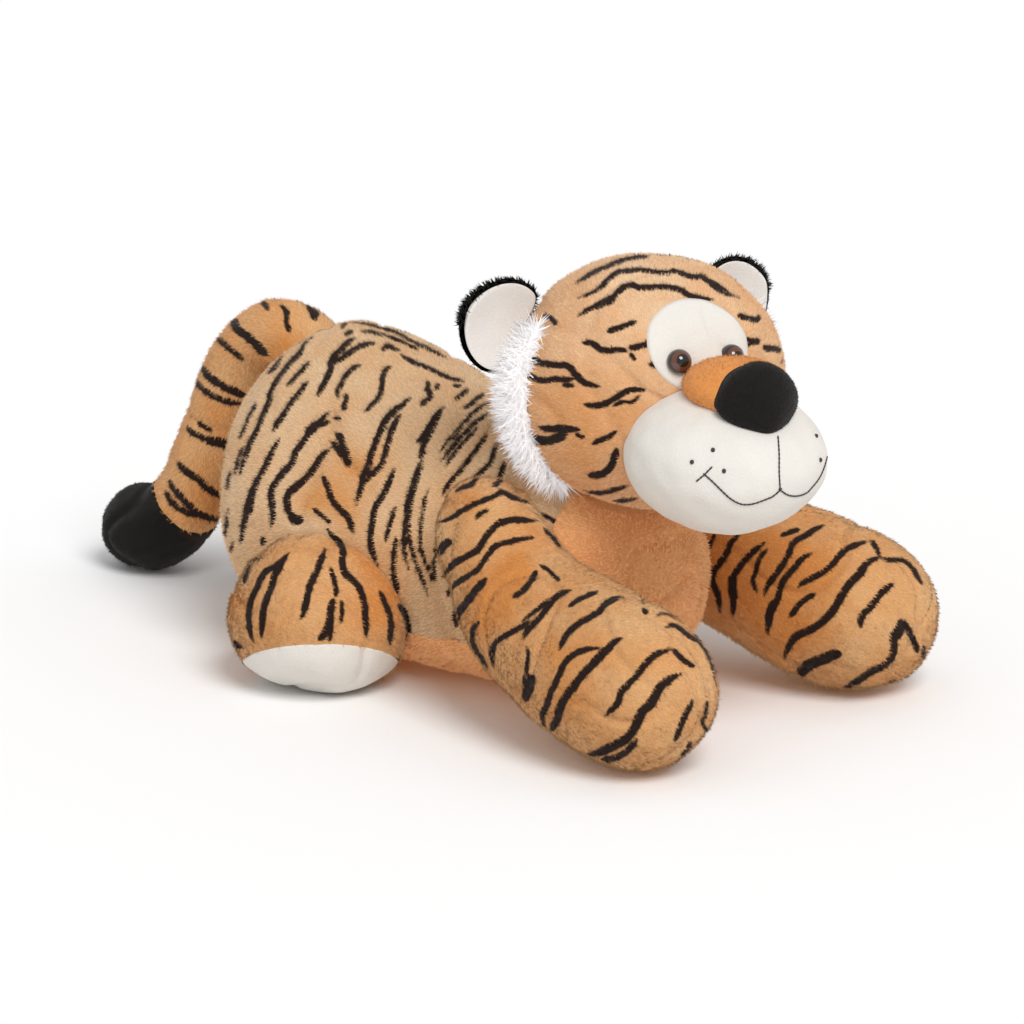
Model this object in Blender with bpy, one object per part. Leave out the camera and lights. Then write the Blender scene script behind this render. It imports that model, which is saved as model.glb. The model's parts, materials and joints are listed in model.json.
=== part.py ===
"""Plush tiger lying on its belly: sewn covers over stuffing, with seams that bend.

The toy faces -Y, its left side is +X, and it rests on the floor at z = 0. The origin lies on
the floor under the back of the chest.
"""
import math

import bmesh
import bpy
from mathutils import Matrix, Vector

# Fabric, seams and facets
FABRIC_WALL = 0.004
SEAM_GAP = 0.0003
FLOOR_DEPTH = 0.3
SEAT_SEGMENTS = 26
SMALL_SEAT_SEGMENTS = 14
END_SHARE = 1 / 3
HALF_STEP = 1 / 2
SIDEWAYS = Vector((1, 0, 0))

# Torso, a loft from the chest to the rump
TORSO_LENGTH = 0.450
TORSO_WIDTH = 0.312
TORSO_HEIGHT = 0.262
CHEST_FRONT = 0.122
TORSO_SEGMENTS = 24
TORSO_ROUNDNESS = 2.2
BELLY_EDGE_HEIGHT = 0.050
BELLY_END = 0.250
CHEST_PANEL_HALF_WIDTH = 0.060
CHEST_PANEL_BACK = 0.060

# Head, turned to the toy's own right and a little tilted
HEAD_HALF_WIDTH = 0.117
HEAD_FRONT = 0.102
HEAD_BACK = 0.125
HEAD_UP = 0.108
HEAD_DOWN = 0.104
HEAD_AHEAD = 0.092
HEAD_CENTRE_HEIGHT = 0.276
HEAD_TURN = math.radians(18)
HEAD_TILT = math.radians(4)
HEAD_SEGMENTS = 24
HEAD_RINGS = 11
HEAD_ROUNDNESS = 2.0

# Neck, a ball of stuffing that both the torso and the head close round
NECK_RADIUS = 0.044
NECK_AHEAD = 0.045
NECK_HEIGHT = 0.194
NOD_DOWN = math.radians(6)
NOD_UP = math.radians(10)
TURN_RIGHT = math.radians(10)
TURN_LEFT = math.radians(36)
TURN_STEPS = 4
NECK_CLEARANCE = 0.001

# Muzzle, nose and bridge, placed from the head's centre
MUZZLE_HALF_WIDTH = 0.086
MUZZLE_HALF_DEPTH = 0.086
MUZZLE_HALF_HEIGHT = 0.062
MUZZLE_AHEAD = 0.116
MUZZLE_BELOW = 0.030
NOSE_WIDTH = 0.078
NOSE_HEIGHT = 0.062
NOSE_DEPTH = 0.044
NOSE_LEAN = math.radians(28)
NOSE_AHEAD = 0.170
NOSE_ABOVE = 0.033
BRIDGE_HALF_WIDTH = 0.046
BRIDGE_HALF_DEPTH = 0.048
BRIDGE_HALF_HEIGHT = 0.020
BRIDGE_AHEAD = 0.132
BRIDGE_ABOVE = 0.042
MUZZLE_SEGMENTS = 20

# Eyes with their stems and lock washers, and the patch they are fixed in
EYE_DIAMETER = 0.020
EYE_SPACING = 0.050
EYE_HEIGHT = 0.048
EYE_STEM_DIAMETER = 0.004
EYE_STEM_LENGTH = 0.014
WASHER_DIAMETER = 0.015
WASHER_THICKNESS = 0.002
WASHER_DEPTH = 0.0085
EYE_RAISE = 0.002
EYE_SEGMENTS = 12
PATCH_HALF_WIDTH = 0.047
PATCH_HALF_HEIGHT = 0.031
PATCH_HEIGHT = 0.058

# Ears, hinged on a rolled root sewn along the side of the head
EAR_HALF_WIDTH = 0.040
EAR_LENGTH = 0.062
EAR_THICKNESS = 0.010
EAR_LINING_THICKNESS = 0.003
EAR_CUP = 0.008
EAR_ROOT_RADIUS = 0.009
EAR_ROOT_LENGTH = 0.056
EAR_ROOT_OUT = 0.091
EAR_ROOT_BACK = 0.062
EAR_ROOT_ABOVE = 0.034
EAR_RISE = math.radians(26)
EAR_FOLD_BACK = math.radians(10)
EAR_FOLD_AHEAD = math.radians(15)
EAR_SEGMENTS = 14
EAR_ROOT_SEGMENTS = 12

# Ruffs, pile strips that follow the side of the head
RUFF_WIDTH = 0.030
RUFF_THICKNESS = 0.014
RUFF_BACK_ANGLE = math.radians(14)
RUFF_STEPS = 8
RUFF_TOP = math.radians(16)
RUFF_BOTTOM = math.radians(-50)

# Forelegs, from the shoulder seat to the paw
SHOULDER_RADIUS = 0.050
SHOULDER_SPREAD = 0.098
SHOULDER_BACK = 0.003
SHOULDER_HEIGHT = 0.163
FORELEG_REACH = 0.265
FORELEG_SPLAY = math.radians(20)
FORELEG_AXIS_TILT = math.radians(35)
PAW_SPREAD = 0.146
PAW_RADIUS = 0.071
LIMB_SEGMENTS = 18

# Hind feet
HIP_RADIUS = 0.034
HIP_SPREAD = 0.128
HIP_BACK = 0.205
HIP_HEIGHT = 0.088
HIND_FOOT_SPLAY = math.radians(15)
HIND_FOOT_AXIS_TILT = math.radians(45)
HIND_FOOT_LENGTH = 0.160
HIND_FOOT_WIDTH = 0.152
HIND_FOOT_HEIGHT = 0.136
HIND_FOOT_SPREAD = 0.142
HIND_FOOT_BACK = 0.150
SOLE_HEIGHT = 0.030
SOLE_LENGTH = 0.130
SOLE_INNER_REACH = 0.040

# Tail
TAIL_DIAMETER = 0.062
TAIL_ROOT_BACK = 0.290
TAIL_ROOT_HEIGHT = 0.222
TAIL_ROOT_RADIUS = 0.039
TAIL_MOUTH_RADIUS = 0.015
TAIL_REACH = 0.217

# Rings of the torso: place along the length, half width, bottom and top,
# as shares of the length, the half width and the height
TORSO_RING_SHARES = (
    (0.018, 0.22, 0.252, 0.519),
    (0.053, 0.42, 0.130, 0.634),
    (0.111, 0.58, 0.031, 0.723),
    (0.182, 0.667, -0.012, 0.775),
    (0.271, 0.692, -0.015, 0.817),
    (0.371, 0.718, -0.015, 0.850),
    (0.471, 0.782, -0.015, 0.870),
    (0.560, 0.904, -0.015, 0.904),
    (0.649, 0.981, -0.015, 0.943),
    (0.738, 1.000, -0.015, 0.981),
    (0.827, 0.936, 0.000, 1.000),
    (0.893, 0.782, 0.069, 0.943),
    (0.947, 0.538, 0.191, 0.840),
    (0.982, 0.282, 0.336, 0.710),
)
CHEST_POLE_SHARE = 0.386
RUMP_POLE_SHARE = 0.523

# How full the back is over each ring, as a share of the torso's roundness
BACK_FULLNESS_SHARES = (
    1.00, 1.00, 1.00, 1.00, 0.96, 0.88, 0.80, 0.74, 0.72, 0.74, 0.80, 0.88, 0.96, 1.00)

# Rings of a foreleg: share of the way from shoulder to paw tip forwards, sideways,
# height as a share of the shoulder's, and radius as a share of the paw's
FORELEG_RING_SHARES = (
    (-0.120, -0.02, 1.02, 0.40),
    (-0.050, 0.00, 1.01, 0.60),
    (0.060, 0.14, 0.86, 0.71),
    (0.185, 0.36, 0.66, 0.79),
    (0.335, 0.55, 0.565, 0.88),
    (0.510, 0.70, 0.485, 0.97),
    (0.680, 0.82, 0.425, 1.00),
    (0.830, 0.92, 0.410, 0.93),
    (0.935, 0.98, 0.405, 0.68),
    (0.985, 1.00, 0.400, 0.36),
)

# Rings of the tail: share of the reach backwards, height as a share of the root's,
# and radius and radius on the inside of the hook as shares of the tail's
TAIL_RING_SHARES = (
    (-0.190, 0.930, 0.60, 0.60),
    (-0.130, 0.940, 0.92, 0.92),
    (-0.040, 1.000, 1.08, 1.04),
    (0.045, 1.060, 1.13, 0.90),
    (0.130, 1.070, 1.04, 0.76),
    (0.220, 1.030, 1.00, 0.84),
    (0.330, 0.905, 1.00, 0.94),
    (0.415, 0.734, 1.00, 1.00),
    (0.480, 0.554, 1.00, 1.00),
    (0.557, 0.383, 1.02, 1.02),
    (0.654, 0.250, 1.08, 1.08),
    (0.760, 0.175, 1.20, 1.20),
    (0.870, 0.154, 1.20, 1.20),
    (0.950, 0.154, 0.92, 0.92),
    (0.990, 0.156, 0.50, 0.50),
)
TAIL_TIP_SHARE = 0.67

# Rings of a hind foot along its length: place, half width, bottom and top
HIND_FOOT_RING_SHARES = (
    (0.03, 0.34, 0.28, 0.66),
    (0.12, 0.66, 0.10, 0.83),
    (0.27, 0.90, 0.00, 0.95),
    (0.45, 1.00, -0.010, 1.00),
    (0.63, 0.97, -0.010, 0.98),
    (0.79, 0.82, 0.02, 0.88),
    (0.91, 0.56, 0.12, 0.74),
    (0.98, 0.26, 0.28, 0.58),
)

# Rings of the nose: rise, half width and half depth; the place of its middle on the rise
NOSE_RING_SHARES = (
    (0.03, 0.16, 0.40),
    (0.12, 0.40, 0.74),
    (0.30, 0.68, 0.94),
    (0.50, 0.88, 1.00),
    (0.70, 1.00, 1.00),
    (0.86, 0.90, 0.84),
    (0.96, 0.60, 0.46),
)
NOSE_MIDDLE_SHARE = 0.5

# Rings of an ear: place out from its root, and half width
EAR_RING_SHARES = (
    (0.02, 0.66),
    (0.16, 0.92),
    (0.36, 1.00),
    (0.56, 0.94),
    (0.76, 0.74),
    (0.90, 0.48),
    (0.97, 0.26),
)
EAR_CUP_SHARE = 0.80
EAR_CUP_PLACE_SHARE = 0.46
RUFF_END_POWER = 0.5

# Colours, roughness
TAN = ((0.73, 0.46, 0.24, 1), 0.9)
ORANGE = ((0.66, 0.32, 0.12, 1), 0.9)
PLAIN_TAN = ((0.58, 0.27, 0.10, 1), 0.9)
CREAM = ((0.80, 0.75, 0.67, 1), 0.85)
BLACK = ((0.012, 0.011, 0.011, 1), 0.8)
WHITE_PILE = ((0.84, 0.82, 0.80, 1), 0.95)
BROWN_PLASTIC = ((0.09, 0.035, 0.015, 1), 0.12)
CLEAR_PLASTIC = ((0.70, 0.70, 0.68, 1), 0.4)
STUFFING = ((0.86, 0.86, 0.85, 1), 1.0)

SIDES = ((-1, "right"), (1, "left"))


# Small helpers

def start_empty():
    """Remove what the opened scene holds."""
    for item in list(bpy.data.objects):
        bpy.data.objects.remove(item, do_unlink=True)


def new_object(name, mesh):
    """Link a mesh to the scene as an object."""
    item = bpy.data.objects.new(name, mesh)
    bpy.context.collection.objects.link(item)
    return item


def mesh_from(work, name="form"):
    """Turn a bmesh into a mesh with outward faces."""
    bmesh.ops.recalc_face_normals(work, faces=work.faces)
    mesh = bpy.data.meshes.new(name)
    work.to_mesh(mesh)
    work.free()
    return mesh


def signed_power(value, power):
    """Raise a size to a power and keep its sign."""
    return math.copysign(abs(value) ** power, value)


def swollen(first, rings, last, segments, roundness=2.0, fullness=None):
    """Closed form through rings between two end points.

    A ring is its centre, its half width as a vector, and its half heights up and down.
    Fullness gives the roundness of each ring's upper half, as a share of the lower half's.
    """
    work = bmesh.new()
    loops = []
    for number, (centre, side, up, down) in enumerate(rings):
        upper_roundness = roundness * fullness[number] if fullness else roundness
        loop = []
        for step in range(segments):
            angle = 2 * math.pi * step / segments
            upper = 0 < step < segments / 2
            power = 2 / (upper_roundness if upper else roundness)
            across = signed_power(math.cos(angle), power)
            rise = signed_power(math.sin(angle), power)
            tall = up if upper else down
            loop.append(work.verts.new(centre + side * across + tall * rise))
        loops.append(loop)
    for near, far in zip(loops, loops[1:]):
        for step in range(segments):
            other = (step + 1) % segments
            corners = (near[step], near[other], far[other], far[step])
            left_half = math.cos(2 * math.pi * (step + HALF_STEP) / segments) > 0
            first_corner = 0 if left_half else 1
            turn = corners[first_corner:] + corners[:first_corner]
            work.faces.new(turn[:3])
            work.faces.new((turn[0], turn[2], turn[3]))
    for point, loop in ((first, loops[0]), (last, loops[-1])):
        pole = work.verts.new(point)
        for step in range(segments):
            work.faces.new((pole, loop[step], loop[(step + 1) % segments]))
    return new_object("form", mesh_from(work))


def grown(form, distance):
    """Copy of a form with its skin moved out by a distance, or in where it is negative."""
    work = bmesh.new()
    work.from_mesh(form.data)
    work.normal_update()
    moves = [vertex.normal * distance for vertex in work.verts]
    for vertex, move in zip(work.verts, moves):
        vertex.co += move
    return new_object("form", mesh_from(work))


def copied(form, matrix=None):
    """Copy of a form, moved by a matrix."""
    mesh = form.data.copy()
    if matrix is not None:
        mesh.transform(matrix)
    return new_object("form", mesh)


def mirrored(form, frame=Matrix.Identity(4)):
    """Copy of a form on the other side of a frame's X = 0 plane."""
    flip = frame @ Matrix.Diagonal((-1, 1, 1, 1)) @ frame.inverted()
    other = copied(form, flip)
    other.data.flip_normals()
    return other


def discard(*forms):
    """Remove forms that have done their work."""
    for form in forms:
        bpy.data.objects.remove(form, do_unlink=True)


def combine(target, other, operation, keep=False):
    """Cut, join or intersect the target with another form and settle the result."""
    step = target.modifiers.new("step", "BOOLEAN")
    step.operation = operation
    step.solver = "EXACT"
    step.object = other
    bpy.context.view_layer.update()
    settled = target.evaluated_get(bpy.context.evaluated_depsgraph_get())
    mesh = bpy.data.meshes.new_from_object(settled)
    target.modifiers.clear()
    target.data = mesh
    if not keep:
        discard(other)
    return target


def cut(target, other, keep=False):
    """Cut one form away from another."""
    return combine(target, other, "DIFFERENCE", keep)


def ball(centre, radius, segments):
    """Faceted ball whose corners lie at the radius."""
    work = bmesh.new()
    bmesh.ops.create_uvsphere(
        work, u_segments=segments, v_segments=segments // 2, radius=radius)
    bmesh.ops.translate(work, verts=work.verts, vec=centre)
    return new_object("form", mesh_from(work))


def seat(centre, radius, segments):
    """Faceted hollow whose flats clear a ball of the given radius as it turns."""
    flat_share = math.cos(math.pi / segments) ** 2
    return ball(centre, (radius + SEAM_GAP) / flat_share, segments)


def rod(start, end, radius, segments=LIMB_SEGMENTS):
    """Straight round rod between two points."""
    work = bmesh.new()
    along = end - start
    bmesh.ops.create_cone(
        work, cap_ends=True, segments=segments, radius1=radius, radius2=radius,
        depth=along.length)
    turn = along.to_track_quat("Z", "Y").to_matrix().to_4x4()
    place = Matrix.Translation((start + end) / 2) @ turn
    bmesh.ops.transform(work, matrix=place, verts=work.verts)
    return new_object("form", mesh_from(work))


def block(low, high, matrix=None):
    """Box between two corners, moved by a matrix."""
    work = bmesh.new()
    bmesh.ops.create_cube(work, size=1)
    middle = (low + high) / 2
    size = high - low
    for vertex in work.verts:
        vertex.co = Vector(a * b for a, b in zip(vertex.co, size)) + middle
    if matrix is not None:
        bmesh.ops.transform(work, matrix=matrix, verts=work.verts)
    return new_object("form", mesh_from(work))


def turned(pivot, axis, angle):
    """Matrix that turns about a line through a pivot."""
    there = Matrix.Translation(pivot)
    return there @ Matrix.Rotation(angle, 4, axis) @ there.inverted()


def rest_on_floor(form, inset=0.0):
    """Cut a form flat where it lies on the floor."""
    reach = TORSO_LENGTH * 2
    low = Vector((-reach, -reach, -FLOOR_DEPTH))
    high = Vector((reach, reach, inset))
    return cut(form, block(low, high))


def finish(form, name, look):
    """Name a finished piece and give it its material."""
    colour, roughness = look
    material = bpy.data.materials.new(name)
    material.use_nodes = True
    shader = material.node_tree.nodes["Principled BSDF"]
    shader.inputs["Base Color"].default_value = colour
    shader.inputs["Roughness"].default_value = roughness
    shader.inputs["Metallic"].default_value = 0
    form.name = name
    form.data.name = name
    form.data.materials.clear()
    form.data.materials.append(material)
    form.data.shade_smooth()
    form.data.set_sharp_from_angle(angle=math.radians(40))
    return form


def finish_pair(form, name, look, frame=Matrix.Identity(4)):
    """Finish a piece on the left and its mirror image on the right."""
    finish(mirrored(form, frame), f"{name}_right", look)
    finish(form, f"{name}_left", look)


# Torso

NECK_POINT = Vector((0, -NECK_AHEAD, NECK_HEIGHT))
TAIL_ROOT = Vector((0, TAIL_ROOT_BACK, TAIL_ROOT_HEIGHT))


def shoulder_point(side):
    """Centre of a shoulder seat; side is -1 on the toy's right and 1 on its left."""
    return Vector((side * SHOULDER_SPREAD, SHOULDER_BACK, SHOULDER_HEIGHT))


def hip_point(side):
    """Centre of a hind foot's seat."""
    return Vector((side * HIP_SPREAD, HIP_BACK, HIP_HEIGHT))


def upright_rings(shares, start, length, across, width, height):
    """Rings of a form that lies along Y: middle, half width and half height of each."""
    rings = []
    for along, half, bottom, top in shares:
        rise = Vector((0, 0, (top - bottom) / 2 * height))
        centre = Vector((across, start + along * length, (bottom + top) / 2 * height))
        rings.append((centre, Vector((half * width / 2, 0, 0)), rise, rise))
    return rings


def torso_form(segments):
    """The whole swelling body, chest to rump, before it is cut."""
    rings = upright_rings(
        TORSO_RING_SHARES, -CHEST_FRONT, TORSO_LENGTH, 0, TORSO_WIDTH, TORSO_HEIGHT)
    chest = Vector((0, -CHEST_FRONT, CHEST_POLE_SHARE * TORSO_HEIGHT))
    rump = Vector((0, TORSO_LENGTH - CHEST_FRONT, RUMP_POLE_SHARE * TORSO_HEIGHT))
    return swollen(chest, rings, rump, segments, TORSO_ROUNDNESS, BACK_FULLNESS_SHARES)


def cut_torso_seats(solid):
    """Hollow out the seats of the neck, the tail and the limbs."""
    cut(solid, seat(NECK_POINT, NECK_RADIUS, SEAT_SEGMENTS))
    cut(solid, seat(TAIL_ROOT, TAIL_ROOT_RADIUS, SEAT_SEGMENTS))
    for side in (-1, 1):
        cut(solid, seat(shoulder_point(side), SHOULDER_RADIUS, SMALL_SEAT_SEGMENTS))
        cut(solid, seat(hip_point(side), HIP_RADIUS, SMALL_SEAT_SEGMENTS))
    return solid


def belly_region(clear):
    """Space that the plain chest and belly panel takes out of the torso's cover."""
    reach = TORSO_LENGTH
    under = block(
        Vector((-reach, -reach, -FLOOR_DEPTH)),
        Vector((reach, BELLY_END + clear, BELLY_EDGE_HEIGHT + clear)))
    front = block(
        Vector((-CHEST_PANEL_HALF_WIDTH - clear, -reach / 2, BELLY_EDGE_HEIGHT / 2)),
        Vector((CHEST_PANEL_HALF_WIDTH + clear, -CHEST_PANEL_BACK + clear, reach)))
    return combine(under, front, "UNION")


def build_torso():
    """Torso cover, belly panel and stuffing."""
    cover = rest_on_floor(torso_form(TORSO_SEGMENTS))
    inner = torso_form(TORSO_SEGMENTS // 2)
    cut(cover, rest_on_floor(grown(inner, -FABRIC_WALL), FABRIC_WALL))
    panel = copied(cover)
    cut(cover, belly_region(SEAM_GAP))
    combine(panel, belly_region(0), "INTERSECT")
    cut_torso_seats(cover)
    cut_torso_seats(panel)
    inset = FABRIC_WALL + SEAM_GAP
    fill = cut_torso_seats(rest_on_floor(grown(inner, -inset), inset))
    discard(inner)
    finish(cover, "torso_cover", TAN)
    finish(panel, "belly_panel", PLAIN_TAN)
    finish(fill, "torso_stuffing", STUFFING)


# Limbs: cut by the torso, with a root that stays inside the torso's seat

def limb_axis(tilt):
    """Direction that a left limb splays about, tilted from upright towards the front."""
    return Vector((0, -math.sin(tilt), math.cos(tilt)))


def limb_bed(torso, pivot, axis, limit):
    """Space that a limb keeps out of: the torso as the limb sees it over its range."""
    bed = grown(torso, SEAM_GAP)
    skin = copied(bed)
    for angle in (limit / 2, limit):
        combine(bed, copied(skin, turned(pivot, axis, -angle)), "UNION")
    discard(skin)
    return bed


def limb_parts(make_form, bed, pivot, radius):
    """Cover and stuffing of a limb; make_form gives its outer form for a number of sides."""
    cut(bed, ball(pivot, radius, SMALL_SEAT_SEGMENTS))
    cover = rest_on_floor(make_form(LIMB_SEGMENTS))
    inner = make_form(LIMB_SEGMENTS // 2)
    cut(cover, rest_on_floor(grown(inner, -FABRIC_WALL), FABRIC_WALL))
    cut(cover, bed, keep=True)
    inset = FABRIC_WALL + SEAM_GAP
    fill = rest_on_floor(grown(inner, -inset), inset)
    cut(fill, bed)
    discard(inner)
    return cover, fill


def swept_rings(places):
    """Rings square to a path of centres, radii and radii on the under side."""
    rings = []
    for number, (centre, radius, under) in enumerate(places):
        before = places[max(number - 1, 0)][0]
        after = places[min(number + 1, len(places) - 1)][0]
        along = (after - before).normalized()
        up = SIDEWAYS.cross(along).normalized()
        across = along.cross(up).normalized()
        rings.append((centre, across * radius, up * radius, up * under))
    return rings


def end_points(places):
    """Points that close a swept form a little past its first and last rings."""
    first = places[0][0] + (places[0][0] - places[1][0]) * END_SHARE
    last = places[-1][0] + (places[-1][0] - places[-2][0]) * END_SHARE
    return first, last


def foreleg_form(segments):
    """Left leg, which swells from the shoulder to the paw."""
    places = []
    for ahead, out, tall, thick in FORELEG_RING_SHARES:
        spread = SHOULDER_SPREAD + out * (PAW_SPREAD - SHOULDER_SPREAD)
        centre = Vector((spread, SHOULDER_BACK - ahead * FORELEG_REACH, tall * SHOULDER_HEIGHT))
        places.append((centre, thick * PAW_RADIUS, thick * PAW_RADIUS))
    root, toe = end_points(places)
    return swollen(root, swept_rings(places), toe, segments)


def hind_foot_form(segments):
    """Left hind foot, a rounded cushion that lies along the flank."""
    start = HIND_FOOT_BACK - HIND_FOOT_LENGTH / 2
    rings = upright_rings(
        HIND_FOOT_RING_SHARES, start, HIND_FOOT_LENGTH, HIND_FOOT_SPREAD,
        HIND_FOOT_WIDTH, HIND_FOOT_HEIGHT)
    toe = Vector((HIND_FOOT_SPREAD, start, rings[0][0].z))
    heel = Vector((HIND_FOOT_SPREAD, start + HIND_FOOT_LENGTH, rings[-1][0].z))
    return swollen(toe, rings, heel, segments, TORSO_ROUNDNESS)


def build_forelegs(torso):
    """Cover and stuffing of both forelegs."""
    pivot = shoulder_point(1)
    bed = limb_bed(torso, pivot, limb_axis(FORELEG_AXIS_TILT), FORELEG_SPLAY)
    cover, fill = limb_parts(foreleg_form, bed, pivot, SHOULDER_RADIUS)
    finish_pair(cover, "foreleg_cover", ORANGE)
    finish_pair(fill, "foreleg_stuffing", STUFFING)


def sole_region(clear):
    """Space that the pale sole takes out of the left hind foot's cover."""
    start = HIND_FOOT_BACK - HIND_FOOT_LENGTH / 2
    inner = HIND_FOOT_SPREAD - SOLE_INNER_REACH - clear
    outer = HIND_FOOT_SPREAD + HIND_FOOT_WIDTH
    low = Vector((inner, start - FLOOR_DEPTH, -FLOOR_DEPTH))
    high = Vector((outer, start + SOLE_LENGTH + clear, SOLE_HEIGHT + clear))
    return block(low, high)


def build_hind_feet(torso):
    """Cover, sole and stuffing of both hind feet."""
    pivot = hip_point(1)
    bed = limb_bed(torso, pivot, limb_axis(HIND_FOOT_AXIS_TILT), HIND_FOOT_SPLAY)
    cover, fill = limb_parts(hind_foot_form, bed, pivot, HIP_RADIUS)
    sole = copied(cover)
    cut(cover, sole_region(SEAM_GAP))
    combine(sole, sole_region(0), "INTERSECT")
    finish_pair(cover, "hind_foot_cover", ORANGE)
    finish_pair(sole, "hind_foot_sole", CREAM)
    finish_pair(fill, "hind_foot_stuffing", STUFFING)


# Tail

def tail_form(segments):
    """Tail that hooks over from the rump and lies on the floor."""
    places = []
    radius = TAIL_DIAMETER / 2
    for back, tall, thick, inside in TAIL_RING_SHARES:
        centre = Vector((0, TAIL_ROOT_BACK + back * TAIL_REACH, tall * TAIL_ROOT_HEIGHT))
        places.append((centre, thick * radius, inside * radius))
    root, end = end_points(places)
    return swollen(root, swept_rings(places), end, segments)


def tip_region(clear):
    """Space behind the seam of the black tail tip."""
    reach = TORSO_LENGTH
    seam = TAIL_ROOT_BACK + TAIL_TIP_SHARE * TAIL_REACH - clear
    return block(Vector((-reach, seam, -FLOOR_DEPTH)), Vector((reach, seam + reach, reach)))


def build_tail(torso):
    """Tail cover, black tip and stuffing."""
    bed = grown(torso, SEAM_GAP)
    cover, fill = limb_parts(tail_form, bed, TAIL_ROOT, TAIL_ROOT_RADIUS)
    mouth_end = TAIL_ROOT - Vector((0, TAIL_DIAMETER, 0))
    cut(cover, rod(TAIL_ROOT, mouth_end, TAIL_MOUTH_RADIUS))
    tip = copied(cover)
    cut(cover, tip_region(SEAM_GAP))
    combine(tip, tip_region(0), "INTERSECT")
    finish(cover, "tail_cover", ORANGE)
    finish(tip, "tail_tip_cover", BLACK)
    finish(fill, "tail_stuffing", STUFFING)


# Head

def head_frame():
    """Matrix from the head's own axes (right, ahead, up) to the toy's."""
    level = Vector((-math.cos(HEAD_TURN), math.sin(HEAD_TURN), 0))
    ahead = Vector((-math.sin(HEAD_TURN), -math.cos(HEAD_TURN), 0))
    upright = Vector((0, 0, 1))
    right = level * math.cos(HEAD_TILT) + upright * math.sin(HEAD_TILT)
    up = upright * math.cos(HEAD_TILT) - level * math.sin(HEAD_TILT)
    centre = Vector((0, -HEAD_AHEAD, HEAD_CENTRE_HEIGHT))
    return Matrix.Translation(centre) @ Matrix((right, ahead, up)).transposed().to_4x4()


HEAD = head_frame()


def in_head(form):
    """Move a form made in the head's axes into the toy's, with its faces outwards."""
    form.data.transform(HEAD)
    work = bmesh.new()
    work.from_mesh(form.data)
    form.data = mesh_from(work)
    return form


def head_form(segments):
    """Skull with a flatter face than back."""
    rings = []
    for step in range(1, HEAD_RINGS):
        angle = math.pi * step / HEAD_RINGS
        reach = HEAD_BACK if math.cos(angle) > 0 else HEAD_FRONT
        centre = Vector((0, -math.cos(angle) * reach, 0))
        swell = math.sin(angle) ** (2 / HEAD_ROUNDNESS)
        side = Vector((HEAD_HALF_WIDTH * swell, 0, 0))
        up = Vector((0, 0, HEAD_UP * swell))
        down = Vector((0, 0, HEAD_DOWN * swell))
        rings.append((centre, side, up, down))
    back = Vector((0, -HEAD_BACK, 0))
    face = Vector((0, HEAD_FRONT, 0))
    return in_head(swollen(back, rings, face, segments, HEAD_ROUNDNESS))


def ellipsoid(centre, half_width, half_depth, half_height, segments):
    """Ellipsoid in the head's axes, placed in the toy."""
    work = bmesh.new()
    bmesh.ops.create_uvsphere(work, u_segments=segments, v_segments=segments // 2, radius=1)
    size = Matrix.Diagonal((half_width, half_depth, half_height, 1))
    bmesh.ops.transform(work, matrix=Matrix.Translation(centre) @ size, verts=work.verts)
    return in_head(new_object("form", mesh_from(work)))


def neck_turns():
    """Where the torso stands, seen from the head, over the head's nods and turns."""
    matrices = []
    for nod in (-NOD_UP, NOD_DOWN):
        for step in range(TURN_STEPS + 1):
            turn = (TURN_LEFT + TURN_RIGHT) * step / TURN_STEPS - TURN_RIGHT
            nodded = turned(NECK_POINT, "X", nod)
            facing = turned(NECK_POINT, "Z", turn)
            matrices.append((nodded @ facing).inverted())
    return matrices


def cut_neck(solid, torso):
    """Cut what rides on the head so that it turns and nods clear of the torso."""
    skin = grown(torso, SEAM_GAP + NECK_CLEARANCE)
    for matrix in neck_turns():
        cut(solid, copied(skin, matrix))
    discard(skin)
    return cut(solid, seat(NECK_POINT, NECK_RADIUS, SEAT_SEGMENTS))


def patch_region(clear):
    """Oval space that the eye patch takes out of the head's cover."""
    work = bmesh.new()
    bmesh.ops.create_cone(
        work, cap_ends=True, segments=HEAD_SEGMENTS, radius1=1, radius2=1, depth=1)
    size = Matrix.Diagonal((PATCH_HALF_WIDTH + clear, PATCH_HALF_HEIGHT + clear, HEAD_FRONT, 1))
    upright = Matrix.Rotation(math.radians(90), 4, "X")
    centre = Vector((0, HEAD_FRONT, PATCH_HEIGHT))
    matrix = Matrix.Translation(centre) @ upright @ size
    bmesh.ops.transform(work, matrix=matrix, verts=work.verts)
    return in_head(new_object("form", mesh_from(work)))


def eye_place(form, side):
    """Point on the skull under an eye, and the direction that the eye looks in."""
    across = -side * EYE_SPACING / 2
    start = HEAD @ Vector((across, HEAD_FRONT * 2, EYE_HEIGHT))
    towards = (HEAD @ Vector((across, 0, EYE_HEIGHT)) - start).normalized()
    _, place, normal, _ = form.ray_cast(start, towards)
    return place, normal


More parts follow.
